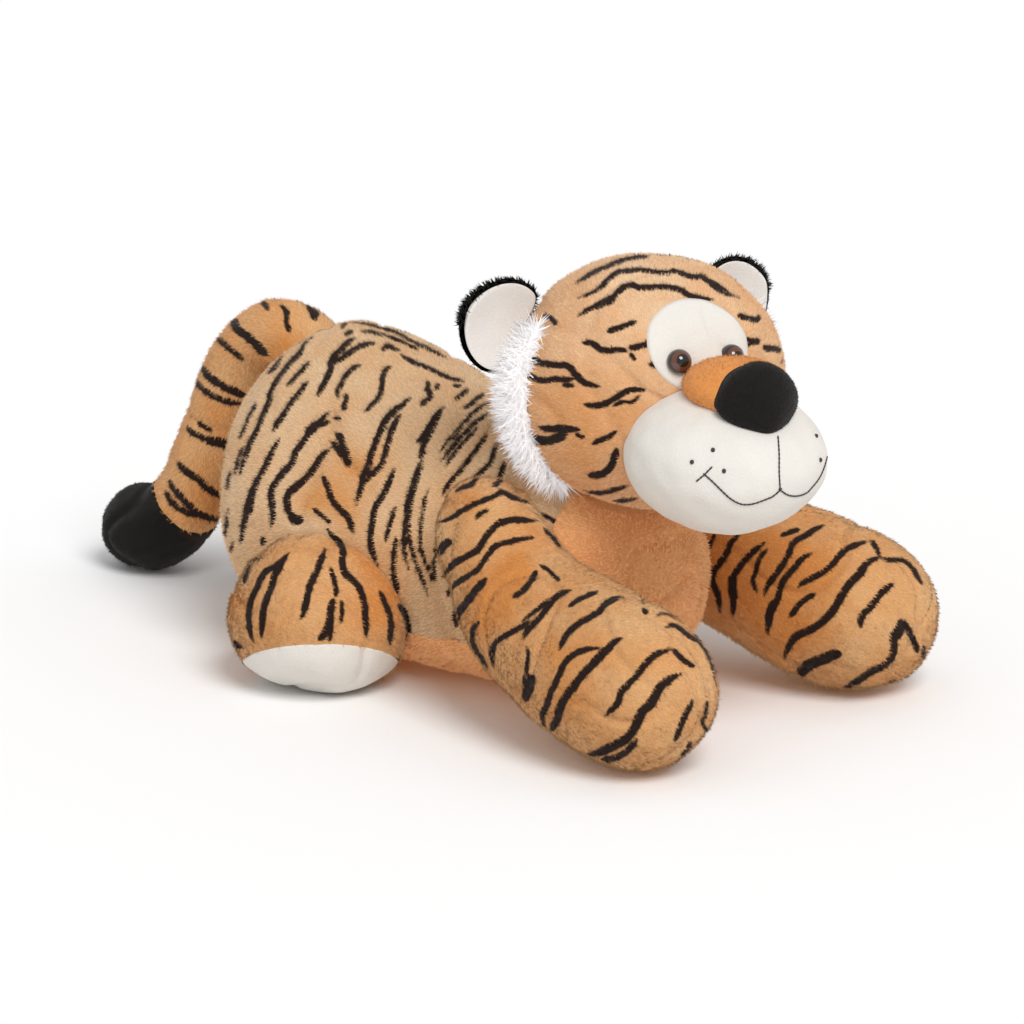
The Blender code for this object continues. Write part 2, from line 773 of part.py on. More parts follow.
def build_eyes(form, patch, fill):
    """Safety eyes on the patch, their stems through it, and the washers that lock them."""
    domes = []
    skin = grown(form, SEAM_GAP)
    for side, word in SIDES:
        place, out = eye_place(form, side)
        eye = ball(place + out * EYE_RAISE, EYE_DIAMETER / 2, EYE_SEGMENTS)
        cut(eye, skin, keep=True)
        domes.append(copied(eye))
        tip = place - out * EYE_STEM_LENGTH
        stem_radius = EYE_STEM_DIAMETER / 2
        combine(eye, rod(place + out * EYE_RAISE, tip, stem_radius, EYE_SEGMENTS), "UNION")
        finish(eye, f"eye_{word}", BROWN_PLASTIC)
        clear_tip = tip - out * SEAM_GAP
        bore = rod(place + out * EYE_RAISE, clear_tip, stem_radius + SEAM_GAP, EYE_SEGMENTS)
        cut(patch, bore, keep=True)
        cut(fill, bore, keep=True)
        front = place - out * WASHER_DEPTH
        back = front - out * WASHER_THICKNESS
        washer = rod(front, back, WASHER_DIAMETER / 2, EYE_SEGMENTS)
        cut(washer, bore)
        finish(washer, f"eye_washer_{word}", CLEAR_PLASTIC)
        space = rod(
            front + out * SEAM_GAP, back - out * SEAM_GAP,
            WASHER_DIAMETER / 2 + SEAM_GAP, EYE_SEGMENTS)
        cut(fill, space)
    discard(skin)
    return domes


def nose_form():
    """Rounded triangle that stands on the muzzle and leans back."""
    lean = Matrix.Rotation(NOSE_LEAN, 4, "X")
    middle = Vector((0, NOSE_AHEAD, NOSE_ABOVE))
    rings = []
    for rise, half, deep in NOSE_RING_SHARES:
        centre = Vector((0, 0, (rise - NOSE_MIDDLE_SHARE) * NOSE_HEIGHT))
        side = Vector((half * NOSE_WIDTH / 2, 0, 0))
        depth = Vector((0, deep * NOSE_DEPTH / 2, 0))
        rings.append((centre, side, depth, depth))
    low = Vector((0, 0, -NOSE_MIDDLE_SHARE * NOSE_HEIGHT))
    high = Vector((0, 0, (1 - NOSE_MIDDLE_SHARE) * NOSE_HEIGHT))
    form = swollen(low, rings, high, LIMB_SEGMENTS)
    form.data.transform(Matrix.Translation(middle) @ lean)
    return in_head(form)


def build_muzzle(form, domes):
    """Muzzle cover and stuffing, the nose on it and the bridge behind the nose."""
    centre = Vector((0, MUZZLE_AHEAD, -MUZZLE_BELOW))
    size = (MUZZLE_HALF_WIDTH, MUZZLE_HALF_DEPTH, MUZZLE_HALF_HEIGHT)
    skull = grown(form, SEAM_GAP)
    whole = ellipsoid(centre, *size, MUZZLE_SEGMENTS)
    inner = ellipsoid(centre, *(half - FABRIC_WALL for half in size), MUZZLE_SEGMENTS // 2)
    cover = cut(cut(copied(whole), inner), skull, keep=True)
    inset = FABRIC_WALL + SEAM_GAP
    fill = ellipsoid(centre, *(half - inset for half in size), MUZZLE_SEGMENTS // 2)
    cut(fill, skull, keep=True)
    muzzle_skin = grown(whole, SEAM_GAP)
    nose = nose_form()
    nose_skin = grown(nose, SEAM_GAP)
    cut(nose, muzzle_skin, keep=True)
    discard(whole)
    bridge_centre = Vector((0, BRIDGE_AHEAD, BRIDGE_ABOVE))
    bridge = ellipsoid(
        bridge_centre, BRIDGE_HALF_WIDTH, BRIDGE_HALF_DEPTH, BRIDGE_HALF_HEIGHT, EAR_SEGMENTS)
    for neighbour in (skull, muzzle_skin, nose_skin):
        cut(bridge, neighbour)
    for dome in domes:
        cut(bridge, grown(dome, SEAM_GAP * 2))
        discard(dome)
    finish(cover, "muzzle_cover", CREAM)
    finish(fill, "muzzle_stuffing", STUFFING)
    finish(nose, "nose", BLACK)
    finish(bridge, "nose_bridge", ORANGE)


def ear_frame(side):
    """Matrix from an ear's axes (along its root, out, ahead) to the head's."""
    root = Vector((-side * EAR_ROOT_OUT, -EAR_ROOT_BACK, EAR_ROOT_ABOVE))
    out = Vector((-side * math.cos(EAR_RISE), 0, math.sin(EAR_RISE)))
    ahead = Vector((0, 1, 0))
    along = out.cross(ahead)
    return Matrix.Translation(root) @ Matrix((along, out, ahead)).transposed().to_4x4()


def ear_hinge(side):
    """Line that an ear folds about: a point on it and its direction, in the toy's axes."""
    place = HEAD @ ear_frame(side)
    return place.translation, (place.to_3x3() @ SIDEWAYS).normalized()


def ear_root_rod(side, radius, length):
    """Rod along an ear's hinge."""
    point, along = ear_hinge(side)
    half = along * length / 2
    return rod(point - half, point + half, radius, EAR_ROOT_SEGMENTS)


def ear_root_clearance(side):
    """Groove that an ear's rolled root lies and turns in."""
    radius = (EAR_ROOT_RADIUS + SEAM_GAP) / math.cos(math.pi / EAR_ROOT_SEGMENTS)
    return ear_root_rod(side, radius, EAR_ROOT_LENGTH + 2 * SEAM_GAP)


def ear_cup(extra):
    """Hollow of the left ear's front, larger by what is asked for."""
    work = bmesh.new()
    bmesh.ops.create_uvsphere(
        work, u_segments=EAR_SEGMENTS, v_segments=EAR_SEGMENTS // 2, radius=1)
    across = EAR_HALF_WIDTH * EAR_CUP_SHARE + extra
    along = EAR_LENGTH * EAR_CUP_SHARE / 2 + extra
    middle = Vector((0, EAR_LENGTH * EAR_CUP_PLACE_SHARE, EAR_THICKNESS / 2))
    size = Matrix.Diagonal((across, along, EAR_CUP + extra, 1))
    matrix = ear_frame(1) @ Matrix.Translation(middle) @ size
    bmesh.ops.transform(work, matrix=matrix, verts=work.verts)
    return in_head(new_object("form", mesh_from(work)))


def build_ears(form):
    """Each ear's back with its rolled root, and the lining in its cup."""
    point, along = ear_hinge(1)
    rings = []
    for out, half in EAR_RING_SHARES:
        centre = Vector((0, out * EAR_LENGTH, 0))
        across = Vector((half * EAR_HALF_WIDTH, 0, 0))
        thick = Vector((0, 0, EAR_THICKNESS / 2))
        rings.append((centre, across, thick, thick * 2))
    blade = swollen(Vector((0, 0, 0)), rings, Vector((0, EAR_LENGTH, 0)), EAR_SEGMENTS)
    blade.data.transform(ear_frame(1))
    in_head(blade)
    lining = combine(copied(blade), ear_cup(EAR_LINING_THICKNESS), "INTERSECT")
    cut(lining, ear_cup(0))
    cut(blade, ear_cup(EAR_LINING_THICKNESS + SEAM_GAP))
    skull = grown(form, SEAM_GAP)
    for angle in (-EAR_FOLD_AHEAD, 0, EAR_FOLD_BACK):
        moved = turned(point, along, angle)
        cut(blade, copied(skull, moved))
        cut(lining, copied(skull, moved))
    discard(skull)
    cut(lining, ear_root_clearance(1))
    combine(blade, ear_root_rod(1, EAR_ROOT_RADIUS, EAR_ROOT_LENGTH), "UNION")
    finish_pair(blade, "ear_back", BLACK, HEAD)
    finish_pair(lining, "ear_lining", CREAM, HEAD)


def build_ruffs(form, torso):
    """Strips of long pile from the ears down to the jaw."""
    skull = grown(form, SEAM_GAP)
    for side, word in SIDES:
        back = Vector((-side * math.cos(RUFF_BACK_ANGLE), -math.sin(RUFF_BACK_ANGLE), 0))
        level = Vector((side * math.sin(RUFF_BACK_ANGLE), -math.cos(RUFF_BACK_ANGLE), 0))
        rings = []
        for step in range(RUFF_STEPS + 1):
            share = step / RUFF_STEPS
            angle = RUFF_TOP + (RUFF_BOTTOM - RUFF_TOP) * share
            swell = math.sin(math.pi * (step + 1) / (RUFF_STEPS + 2)) ** RUFF_END_POWER
            tall = HEAD_UP if angle > 0 else HEAD_DOWN
            surface = back * math.cos(angle) * HEAD_HALF_WIDTH + Vector((0, 0, math.sin(angle) * tall))
            out = (back * math.cos(angle) + Vector((0, 0, math.sin(angle)))).normalized()
            thick = out * RUFF_THICKNESS * swell
            rings.append((surface, level * RUFF_WIDTH / 2 * swell, thick, thick))
        first = rings[0][0] + (rings[0][0] - rings[1][0]) * END_SHARE
        last = rings[-1][0] + (rings[-1][0] - rings[-2][0]) * END_SHARE
        ruff = in_head(swollen(first, rings, last, EAR_SEGMENTS))
        cut(ruff, skull, keep=True)
        cut_neck(ruff, torso)
        finish(ruff, f"ruff_{word}", WHITE_PILE)
    discard(skull)


def build_head(torso):
    """Head cover, eye patch, stuffing and all that is sewn or fixed on the head."""
    form = head_form(HEAD_SEGMENTS)
    inner = head_form(HEAD_SEGMENTS // 2)
    cover = cut(copied(form), grown(inner, -FABRIC_WALL))
    cut_neck(cover, torso)
    fill = cut_neck(grown(inner, -FABRIC_WALL - SEAM_GAP), torso)
    discard(inner)
    for side, _ in SIDES:
        groove = ear_root_clearance(side)
        cut(cover, groove, keep=True)
        cut(fill, groove)
    patch = combine(copied(cover), patch_region(0), "INTERSECT")
    cut(cover, patch_region(SEAM_GAP))
    domes = build_eyes(form, patch, fill)
    build_muzzle(form, domes)
    build_ears(form)
    build_ruffs(form, torso)
    finish(cover, "head_cover", TAN)
    finish(patch, "eye_patch", CREAM)
    finish(fill, "head_stuffing", STUFFING)
    discard(form)


# Assembly

def main():
    """Build every piece of the toy."""
    start_empty()
    torso = torso_form(TORSO_SEGMENTS)
    build_torso()
    build_forelegs(torso)
    build_hind_feet(torso)
    build_tail(torso)
    finish(ball(NECK_POINT, NECK_RADIUS, SEAT_SEGMENTS), "neck_stuffing", STUFFING)
    build_head(torso)
    discard(torso)


main()
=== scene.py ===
"""Looks of the lying plush tiger: sewn pile covers, velvet face, stitched mouth and plastic eyes."""
import json
import math

import bmesh
import bpy
import numpy as np
from mathutils import Matrix, Vector, noise
from mathutils.bvhtree import BVHTree

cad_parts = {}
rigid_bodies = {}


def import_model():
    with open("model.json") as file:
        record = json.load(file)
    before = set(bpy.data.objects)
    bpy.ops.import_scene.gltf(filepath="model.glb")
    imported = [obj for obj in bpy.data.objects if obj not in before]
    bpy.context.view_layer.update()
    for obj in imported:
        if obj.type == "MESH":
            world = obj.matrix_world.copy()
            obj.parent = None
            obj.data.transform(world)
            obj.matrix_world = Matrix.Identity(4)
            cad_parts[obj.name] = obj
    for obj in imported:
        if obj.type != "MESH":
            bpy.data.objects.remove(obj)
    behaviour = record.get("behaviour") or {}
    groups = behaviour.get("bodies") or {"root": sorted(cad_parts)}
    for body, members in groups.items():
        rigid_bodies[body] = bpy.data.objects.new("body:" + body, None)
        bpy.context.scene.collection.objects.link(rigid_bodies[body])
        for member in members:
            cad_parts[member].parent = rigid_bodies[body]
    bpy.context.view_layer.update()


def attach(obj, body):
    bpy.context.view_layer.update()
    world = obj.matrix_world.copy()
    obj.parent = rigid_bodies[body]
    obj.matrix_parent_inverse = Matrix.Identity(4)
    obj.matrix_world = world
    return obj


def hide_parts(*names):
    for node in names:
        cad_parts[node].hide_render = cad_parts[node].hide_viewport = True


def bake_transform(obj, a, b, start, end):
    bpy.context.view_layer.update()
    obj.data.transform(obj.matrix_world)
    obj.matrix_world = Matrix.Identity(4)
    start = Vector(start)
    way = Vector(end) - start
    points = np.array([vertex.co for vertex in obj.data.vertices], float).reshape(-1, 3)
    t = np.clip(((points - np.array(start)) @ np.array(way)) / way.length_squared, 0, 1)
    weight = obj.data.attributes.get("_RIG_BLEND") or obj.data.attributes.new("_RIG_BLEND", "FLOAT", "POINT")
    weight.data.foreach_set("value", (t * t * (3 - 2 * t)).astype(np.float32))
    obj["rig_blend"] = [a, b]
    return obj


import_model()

SEED = 7
LEG_SEED = SEED + 2
FOOT_SEED = SEED + 4
TAIL_SEED = SEED + 6
SKULL_SEED = SEED + 7
MUZZLE_SEED = SEED + 8
SIDES = (("right", -1), ("left", 1))
SIDEWAYS = Vector((1, 0, 0))


# Camera at the photograph's viewing angle

IMAGE_SIDE = 1024
SENSOR_WIDTH = 36.0
CAMERA_TURN = math.radians(-49)
CAMERA_RISE = math.radians(17.7)
CAMERA_DISTANCE = 18.0
CLIP_DISTANCE = CAMERA_DISTANCE * 4
PIXELS_PER_METRE = 1205.0
LOOK_AT = Vector((0, 0.062, 0.1335))


def view_direction():
    """Direction from the toy to the camera."""
    flat = math.cos(CAMERA_RISE)
    return Vector((math.sin(CAMERA_TURN) * flat, -math.cos(CAMERA_TURN) * flat, math.sin(CAMERA_RISE)))


VIEW = view_direction()
EYE_POINT = LOOK_AT + VIEW * CAMERA_DISTANCE
FOCAL_PIXELS = PIXELS_PER_METRE * CAMERA_DISTANCE
TO_WORLD = VIEW.to_track_quat("Z", "Y").to_matrix()


def make_camera():
    """Long lens camera that sees the toy as the photograph does."""
    data = bpy.data.cameras.new("photo_camera")
    data.sensor_width = SENSOR_WIDTH
    data.lens = FOCAL_PIXELS / IMAGE_SIDE * SENSOR_WIDTH
    data.clip_end = CLIP_DISTANCE
    camera = bpy.data.objects.new("photo_camera", data)
    camera.matrix_world = Matrix.Translation(EYE_POINT) @ TO_WORLD.to_4x4()
    bpy.context.collection.objects.link(camera)
    bpy.context.scene.camera = camera


def pixel_ray(across, down):
    """Direction from the camera through a pixel of the photograph."""
    half = IMAGE_SIDE / 2
    local = Vector(((across - half) / FOCAL_PIXELS, (half - down) / FOCAL_PIXELS, -1))
    return (TO_WORLD @ local).normalized()


# Forms: a cage of rings, subdivided until it is smooth

FINE = 4
LIMB_SEGMENTS = 16
TORSO_SEGMENTS = 24
BALL_SEGMENTS = 20
LIMB_ROUNDNESS = 2.0
BODY_ROUNDNESS = 2.2
RUFFLE_STEPS = (13.7, 7.3, 3.1)
LIMB_CAP_PARTS = 3


def signed_power(value, power):
    return math.copysign(abs(value) ** power, value)


def cage(first, rings, last, segments, roundness=LIMB_ROUNDNESS, fullness=None):
    """Closed cage through rings of (centre, half width, up, down) between two end points.

    Fullness gives the roundness of each ring's upper half, as a share of the lower half's.
    """
    work = bmesh.new()
    loops = []
    for number, (centre, side, up, down) in enumerate(rings):
        upper_roundness = roundness * fullness[number] if fullness else roundness
        loop = []
        for step in range(segments):
            angle = 2 * math.pi * step / segments
            upper = 0 < step < segments / 2
            power = 2 / (upper_roundness if upper else roundness)
            across = signed_power(math.cos(angle), power)
            rise = signed_power(math.sin(angle), power)
            tall = up if upper else down
            loop.append(work.verts.new(centre + side * across + tall * rise))
        loops.append(loop)
    for near, far in zip(loops, loops[1:]):
        for step in range(segments):
            other = (step + 1) % segments
            work.faces.new((near[step], near[other], far[other], far[step]))
    for point, loop in ((first, loops[0]), (last, loops[-1])):
        pole = work.verts.new(point)
        for step in range(segments):
            work.faces.new((pole, loop[step], loop[(step + 1) % segments]))
    bmesh.ops.recalc_face_normals(work, faces=work.faces)
    return work


def object_from(work, name):
    """Object that holds a bmesh."""
    mesh = bpy.data.meshes.new(name)
    work.to_mesh(mesh)
    work.free()
    item = bpy.data.objects.new(name, mesh)
    bpy.context.collection.objects.link(item)
    return item


def copied(item):
    """Copy of an object with a mesh of its own."""
    twin = item.copy()
    twin.data = item.data.copy()
    bpy.context.collection.objects.link(twin)
    return twin


def settle(item):
    """Turn an object's modifiers into its plain mesh."""
    bpy.context.view_layer.update()
    result = item.evaluated_get(bpy.context.evaluated_depsgraph_get())
    mesh = bpy.data.meshes.new_from_object(result)
    item.modifiers.clear()
    old = item.data
    item.data = mesh
    mesh.name = item.name
    bpy.data.meshes.remove(old)
    return item


def smooth_form(work, name, levels):
    """Subdivided object from a cage."""
    item = object_from(work, name)
    step = item.modifiers.new("smooth", "SUBSURF")
    step.levels = levels
    step.render_levels = levels
    settle(item)
    item.data.shade_smooth()
    return item


def read_points(item):
    points = np.empty(len(item.data.vertices) * 3)
    item.data.vertices.foreach_get("co", points)
    return points.reshape(-1, 3)


def read_normals(item):
    normals = np.empty(len(item.data.vertices) * 3)
    item.data.vertex_normals.foreach_get("vector", normals)
    return normals.reshape(-1, 3)


def write_points(item, points):
    item.data.vertices.foreach_set("co", np.ascontiguousarray(points, dtype=np.float64).ravel())
    item.data.update()


def has_mark(item, name):
    return item.data.attributes.get(name) is not None


def write_mark(item, name, values):
    """Store one number or one vector a vertex."""
    values = np.ascontiguousarray(values, dtype=np.float32)
    kind, key = ("FLOAT", "value") if values.ndim == 1 else ("FLOAT_VECTOR", "vector")
    mark = item.data.attributes.get(name) or item.data.attributes.new(name, kind, "POINT")
    mark.data.foreach_set(key, values.ravel())


def tree_of(item):
    """Search tree of a mesh, in its own coordinates."""
    item.data.calc_loop_triangles()
    points = [vertex.co.copy() for vertex in item.data.vertices]
    faces = [tuple(face.vertices) for face in item.data.polygons]
    return BVHTree.FromPolygons(points, faces)


def press_out(item, tree, gap, move):
    """Shift the vertices that a move takes into another closed form, so that they end just outside it."""
    points = read_points(item)
    back = move.inverted()
    for number in range(len(points)):
        point = move @ Vector(points[number])
        place, normal, _, _ = tree.find_nearest(point)
        if (point - place).dot(normal) < gap:
            points[number] = back @ (place + normal * gap)
    write_points(item, points)


def swell(item, field):
    """Move each vertex along its normal by field(points), in metres."""
    points = read_points(item)
    amount = field(points)
    write_points(item, points + read_normals(item) * amount[:, None])


def segment_distance(points, start, end):
    """Distance of points to a segment, and the share of the way along it."""
    start = np.asarray(start, float)
    along = np.asarray(end, float) - start
    length = float(along @ along) or 1.0
    share = np.clip((points - start) @ along / length, 0, 1)
    nearest = start + share[:, None] * along
    return np.linalg.norm(points - nearest, axis=1), share


def line_distance(points, line):
    """Distance of points to a chain of 3-D points."""
    best = np.full(len(points), np.inf)
    for start, end in zip(line, line[1:]):
        distance, _ = segment_distance(points, start, end)
        best = np.minimum(best, distance)
    return best


def groove(line, depth, width):
    """Field that sinks a seam along a line."""
    def field(points):
        distance = line_distance(points, line)
        return -depth * np.exp(-(distance / width) ** 2)
    return field


def ruffle(points, scale, seed):
    """Smooth random numbers from -1 to 1 over space."""
    offset = Vector([seed * step for step in RUFFLE_STEPS])
    return np.array([noise.noise(Vector(point) * scale + offset) for point in points])


def rest_on_floor(item):
    """Flatten what would sink below the floor."""
    points = read_points(item)
    points[:, 2] = np.maximum(points[:, 2], 0)
    write_points(item, points)


# Torso: chest, belly, back and rump in one stuffed form

TORSO_RINGS = (
    (-0.114, 0.034, 0.066, 0.136),
    (-0.098, 0.066, 0.034, 0.166),
    (-0.072, 0.090, 0.008, 0.189),
    (-0.040, 0.104, -0.003, 0.203),
    (-0.000, 0.108, -0.004, 0.214),
    (0.045, 0.112, -0.004, 0.223),
    (0.090, 0.122, -0.004, 0.228),
    (0.130, 0.141, -0.004, 0.237),
    (0.170, 0.153, -0.004, 0.247),
    (0.210, 0.156, -0.004, 0.257),
    (0.250, 0.146, 0.000, 0.262),
    (0.280, 0.122, 0.018, 0.247),
    (0.304, 0.084, 0.050, 0.220),
    (0.320, 0.044, 0.088, 0.186),
)
BACK_FULLNESS_SHARES = (
    1.00, 1.00, 1.00, 1.00, 0.96, 0.88, 0.80, 0.74, 0.72, 0.74, 0.80, 0.88, 0.96, 1.00)
CHEST_POLE = Vector((0, -0.122, 0.101))
RUMP_POLE = Vector((0, 0.328, 0.137))


def upright_rings(table, across=0.0):
    """Rings across the toy: place along it, half width, bottom and top."""
    rings = []
    for along, half, bottom, top in table:
        rise = Vector((0, 0, (top - bottom) / 2))
        rings.append((Vector((across, along, (top + bottom) / 2)), Vector((half, 0, 0)), rise, rise))
    return rings


def swept_rings(places):
    """Rings square to a path of (centre, radius, radius on the under side)."""
    rings = []
    for number, (centre, radius, under) in enumerate(places):
        before = places[max(number - 1, 0)][0]
        after = places[min(number + 1, len(places) - 1)][0]
        along = (after - before).normalized()
        up = SIDEWAYS.cross(along).normalized()
        across = along.cross(up).normalized()
        rings.append((centre, across * radius, up * radius, up * under))
    return rings


def capped_cage(rings, parts):
    """Cage that closes past its end rings, by one of so many parts of the step there."""
    first = rings[0][0] + (rings[0][0] - rings[1][0]) / parts
    last = rings[-1][0] + (rings[-1][0] - rings[-2][0]) / parts
    return cage(first, rings, last, LIMB_SEGMENTS)


def make_torso():
    rings = upright_rings(TORSO_RINGS)
    form = cage(CHEST_POLE, rings, RUMP_POLE, TORSO_SEGMENTS, BODY_ROUNDNESS, BACK_FULLNESS_SHARES)
    body = smooth_form(form, "body_cover", FINE)
    rest_on_floor(body)
    return body


# Limbs

FORELEG_PLACES = (
    (0.0970, 0.0348, 0.1663, 0.0284),
    (0.0980, 0.0163, 0.1646, 0.0426),
    (0.1047, -0.0129, 0.1402, 0.0504),
    (0.1153, -0.0460, 0.1076, 0.0561),
    (0.1244, -0.0858, 0.0921, 0.0625),
    (0.1316, -0.1322, 0.0791, 0.0689),
    (0.1374, -0.1772, 0.0693, 0.0710),
    (0.1422, -0.2170, 0.0668, 0.0660),
    (0.1450, -0.2448, 0.0660, 0.0483),
    (0.1460, -0.2580, 0.0652, 0.0256),
)
HIND_FOOT_RINGS = (
    (0.0748, 0.0258, 0.0381, 0.0898),
    (0.0892, 0.0502, 0.0136, 0.1129),
    (0.1132, 0.0684, 0.0000, 0.1292),
    (0.1420, 0.0760, -0.0014, 0.1360),
    (0.1708, 0.0737, -0.0014, 0.1333),
    (0.1964, 0.0623, 0.0027, 0.1197),
    (0.2156, 0.0426, 0.0163, 0.1006),
    (0.2268, 0.0198, 0.0381, 0.0789),
)
HIND_FOOT_SPREAD = 0.142
TOE_POLE = (0.070, 0.064)
HEEL_POLE = (0.230, 0.0585)
TAIL_PLACES = (
    (0.2618, 0.2087, 0.0285, 0.0285),
    (0.2813, 0.2220, 0.0335, 0.0322),
    (0.2998, 0.2353, 0.0350, 0.0279),
    (0.3182, 0.2375, 0.0322, 0.0236),
    (0.3377, 0.2287, 0.0310, 0.0260),
    (0.3616, 0.2009, 0.0310, 0.0291),
    (0.3801, 0.1629, 0.0310, 0.0310),
    (0.3942, 0.1230, 0.0310, 0.0310),
    (0.4109, 0.0850, 0.0316, 0.0316),
    (0.4319, 0.0555, 0.0335, 0.0335),
    (0.4549, 0.0388, 0.0372, 0.0372),
    (0.4788, 0.0342, 0.0372, 0.0372),
    (0.4961, 0.0342, 0.0285, 0.0285),
    (0.5048, 0.0346, 0.0155, 0.0155),
)


def make_foreleg(side):
    places = [(Vector((side * x, y, z)), radius, radius) for x, y, z, radius in FORELEG_PLACES]
    leg = smooth_form(capped_cage(swept_rings(places), LIMB_CAP_PARTS), "foreleg", FINE)
    rest_on_floor(leg)
    return leg


def make_hind_foot(side):
    across = side * HIND_FOOT_SPREAD
    rings = upright_rings(HIND_FOOT_RINGS, across)
    toe = Vector((across, *TOE_POLE))
    heel = Vector((across, *HEEL_POLE))
    foot = smooth_form(cage(toe, rings, heel, LIMB_SEGMENTS, BODY_ROUNDNESS), "hind_foot", FINE)
    rest_on_floor(foot)
    return foot


def make_tail():
    places = [(Vector((0, y, z)), radius, under) for y, z, radius, under in TAIL_PLACES]
    tail = smooth_form(capped_cage(swept_rings(places), LIMB_CAP_PARTS), "tail", FINE)
    rest_on_floor(tail)
    return tail


# Head

HEAD_TURN = math.radians(18)
HEAD_TILT = math.radians(4)
HEAD_CENTRE = Vector((0, -0.092, 0.276))
HEAD_SIZE = (0.117, 0.102, 0.125, 0.108, 0.104)
HEAD_RINGS = 11
HEAD_ROUNDNESS = 2.0
NECK_POINT = Vector((0, -0.045, 0.194))


def head_frame():
    """Matrix from the head's axes (right, ahead, up) to the toy's."""
    level = Vector((-math.cos(HEAD_TURN), math.sin(HEAD_TURN), 0))
    ahead = Vector((-math.sin(HEAD_TURN), -math.cos(HEAD_TURN), 0))
    upright = Vector((0, 0, 1))
    right = level * math.cos(HEAD_TILT) + upright * math.sin(HEAD_TILT)
    up = upright * math.cos(HEAD_TILT) - level * math.sin(HEAD_TILT)
    return Matrix.Translation(HEAD_CENTRE) @ Matrix((right, ahead, up)).transposed().to_4x4()


HEAD = head_frame()


def in_head(item):
    """Move a form made in the head's axes into the toy's, faces outwards."""
    work = bmesh.new()
    work.from_mesh(item.data)
    bmesh.ops.transform(work, matrix=HEAD, verts=work.verts)
    bmesh.ops.recalc_face_normals(work, faces=work.faces)
    work.to_mesh(item.data)
    work.free()
    item.data.shade_smooth()
    return item


def make_skull():
    half, front, back, up, down = HEAD_SIZE
    rings = []
    for step in range(1, HEAD_RINGS):
        angle = math.pi * step / HEAD_RINGS
        reach = back if math.cos(angle) > 0 else front
        grow = math.sin(angle) ** (2 / HEAD_ROUNDNESS)
        centre = Vector((0, -math.cos(angle) * reach, 0))
        across = Vector((half * grow, 0, 0))
        rings.append((centre, across, Vector((0, 0, up * grow)), Vector((0, 0, down * grow))))
    form = cage(Vector((0, -back, 0)), rings, Vector((0, front, 0)), TORSO_SEGMENTS, HEAD_ROUNDNESS)
    return in_head(smooth_form(form, "head_cover", FINE))


def ball_form(name, centre, size):
    """Smooth ellipsoid in the head's axes."""
    work = bmesh.new()
    bmesh.ops.create_uvsphere(work, u_segments=BALL_SEGMENTS, v_segments=BALL_SEGMENTS // 2, radius=1)
    place = Matrix.Translation(centre) @ Matrix.Diagonal((*size, 1))
    bmesh.ops.transform(work, matrix=place, verts=work.verts)
    return in_head(smooth_form(work, name, FINE - 1))
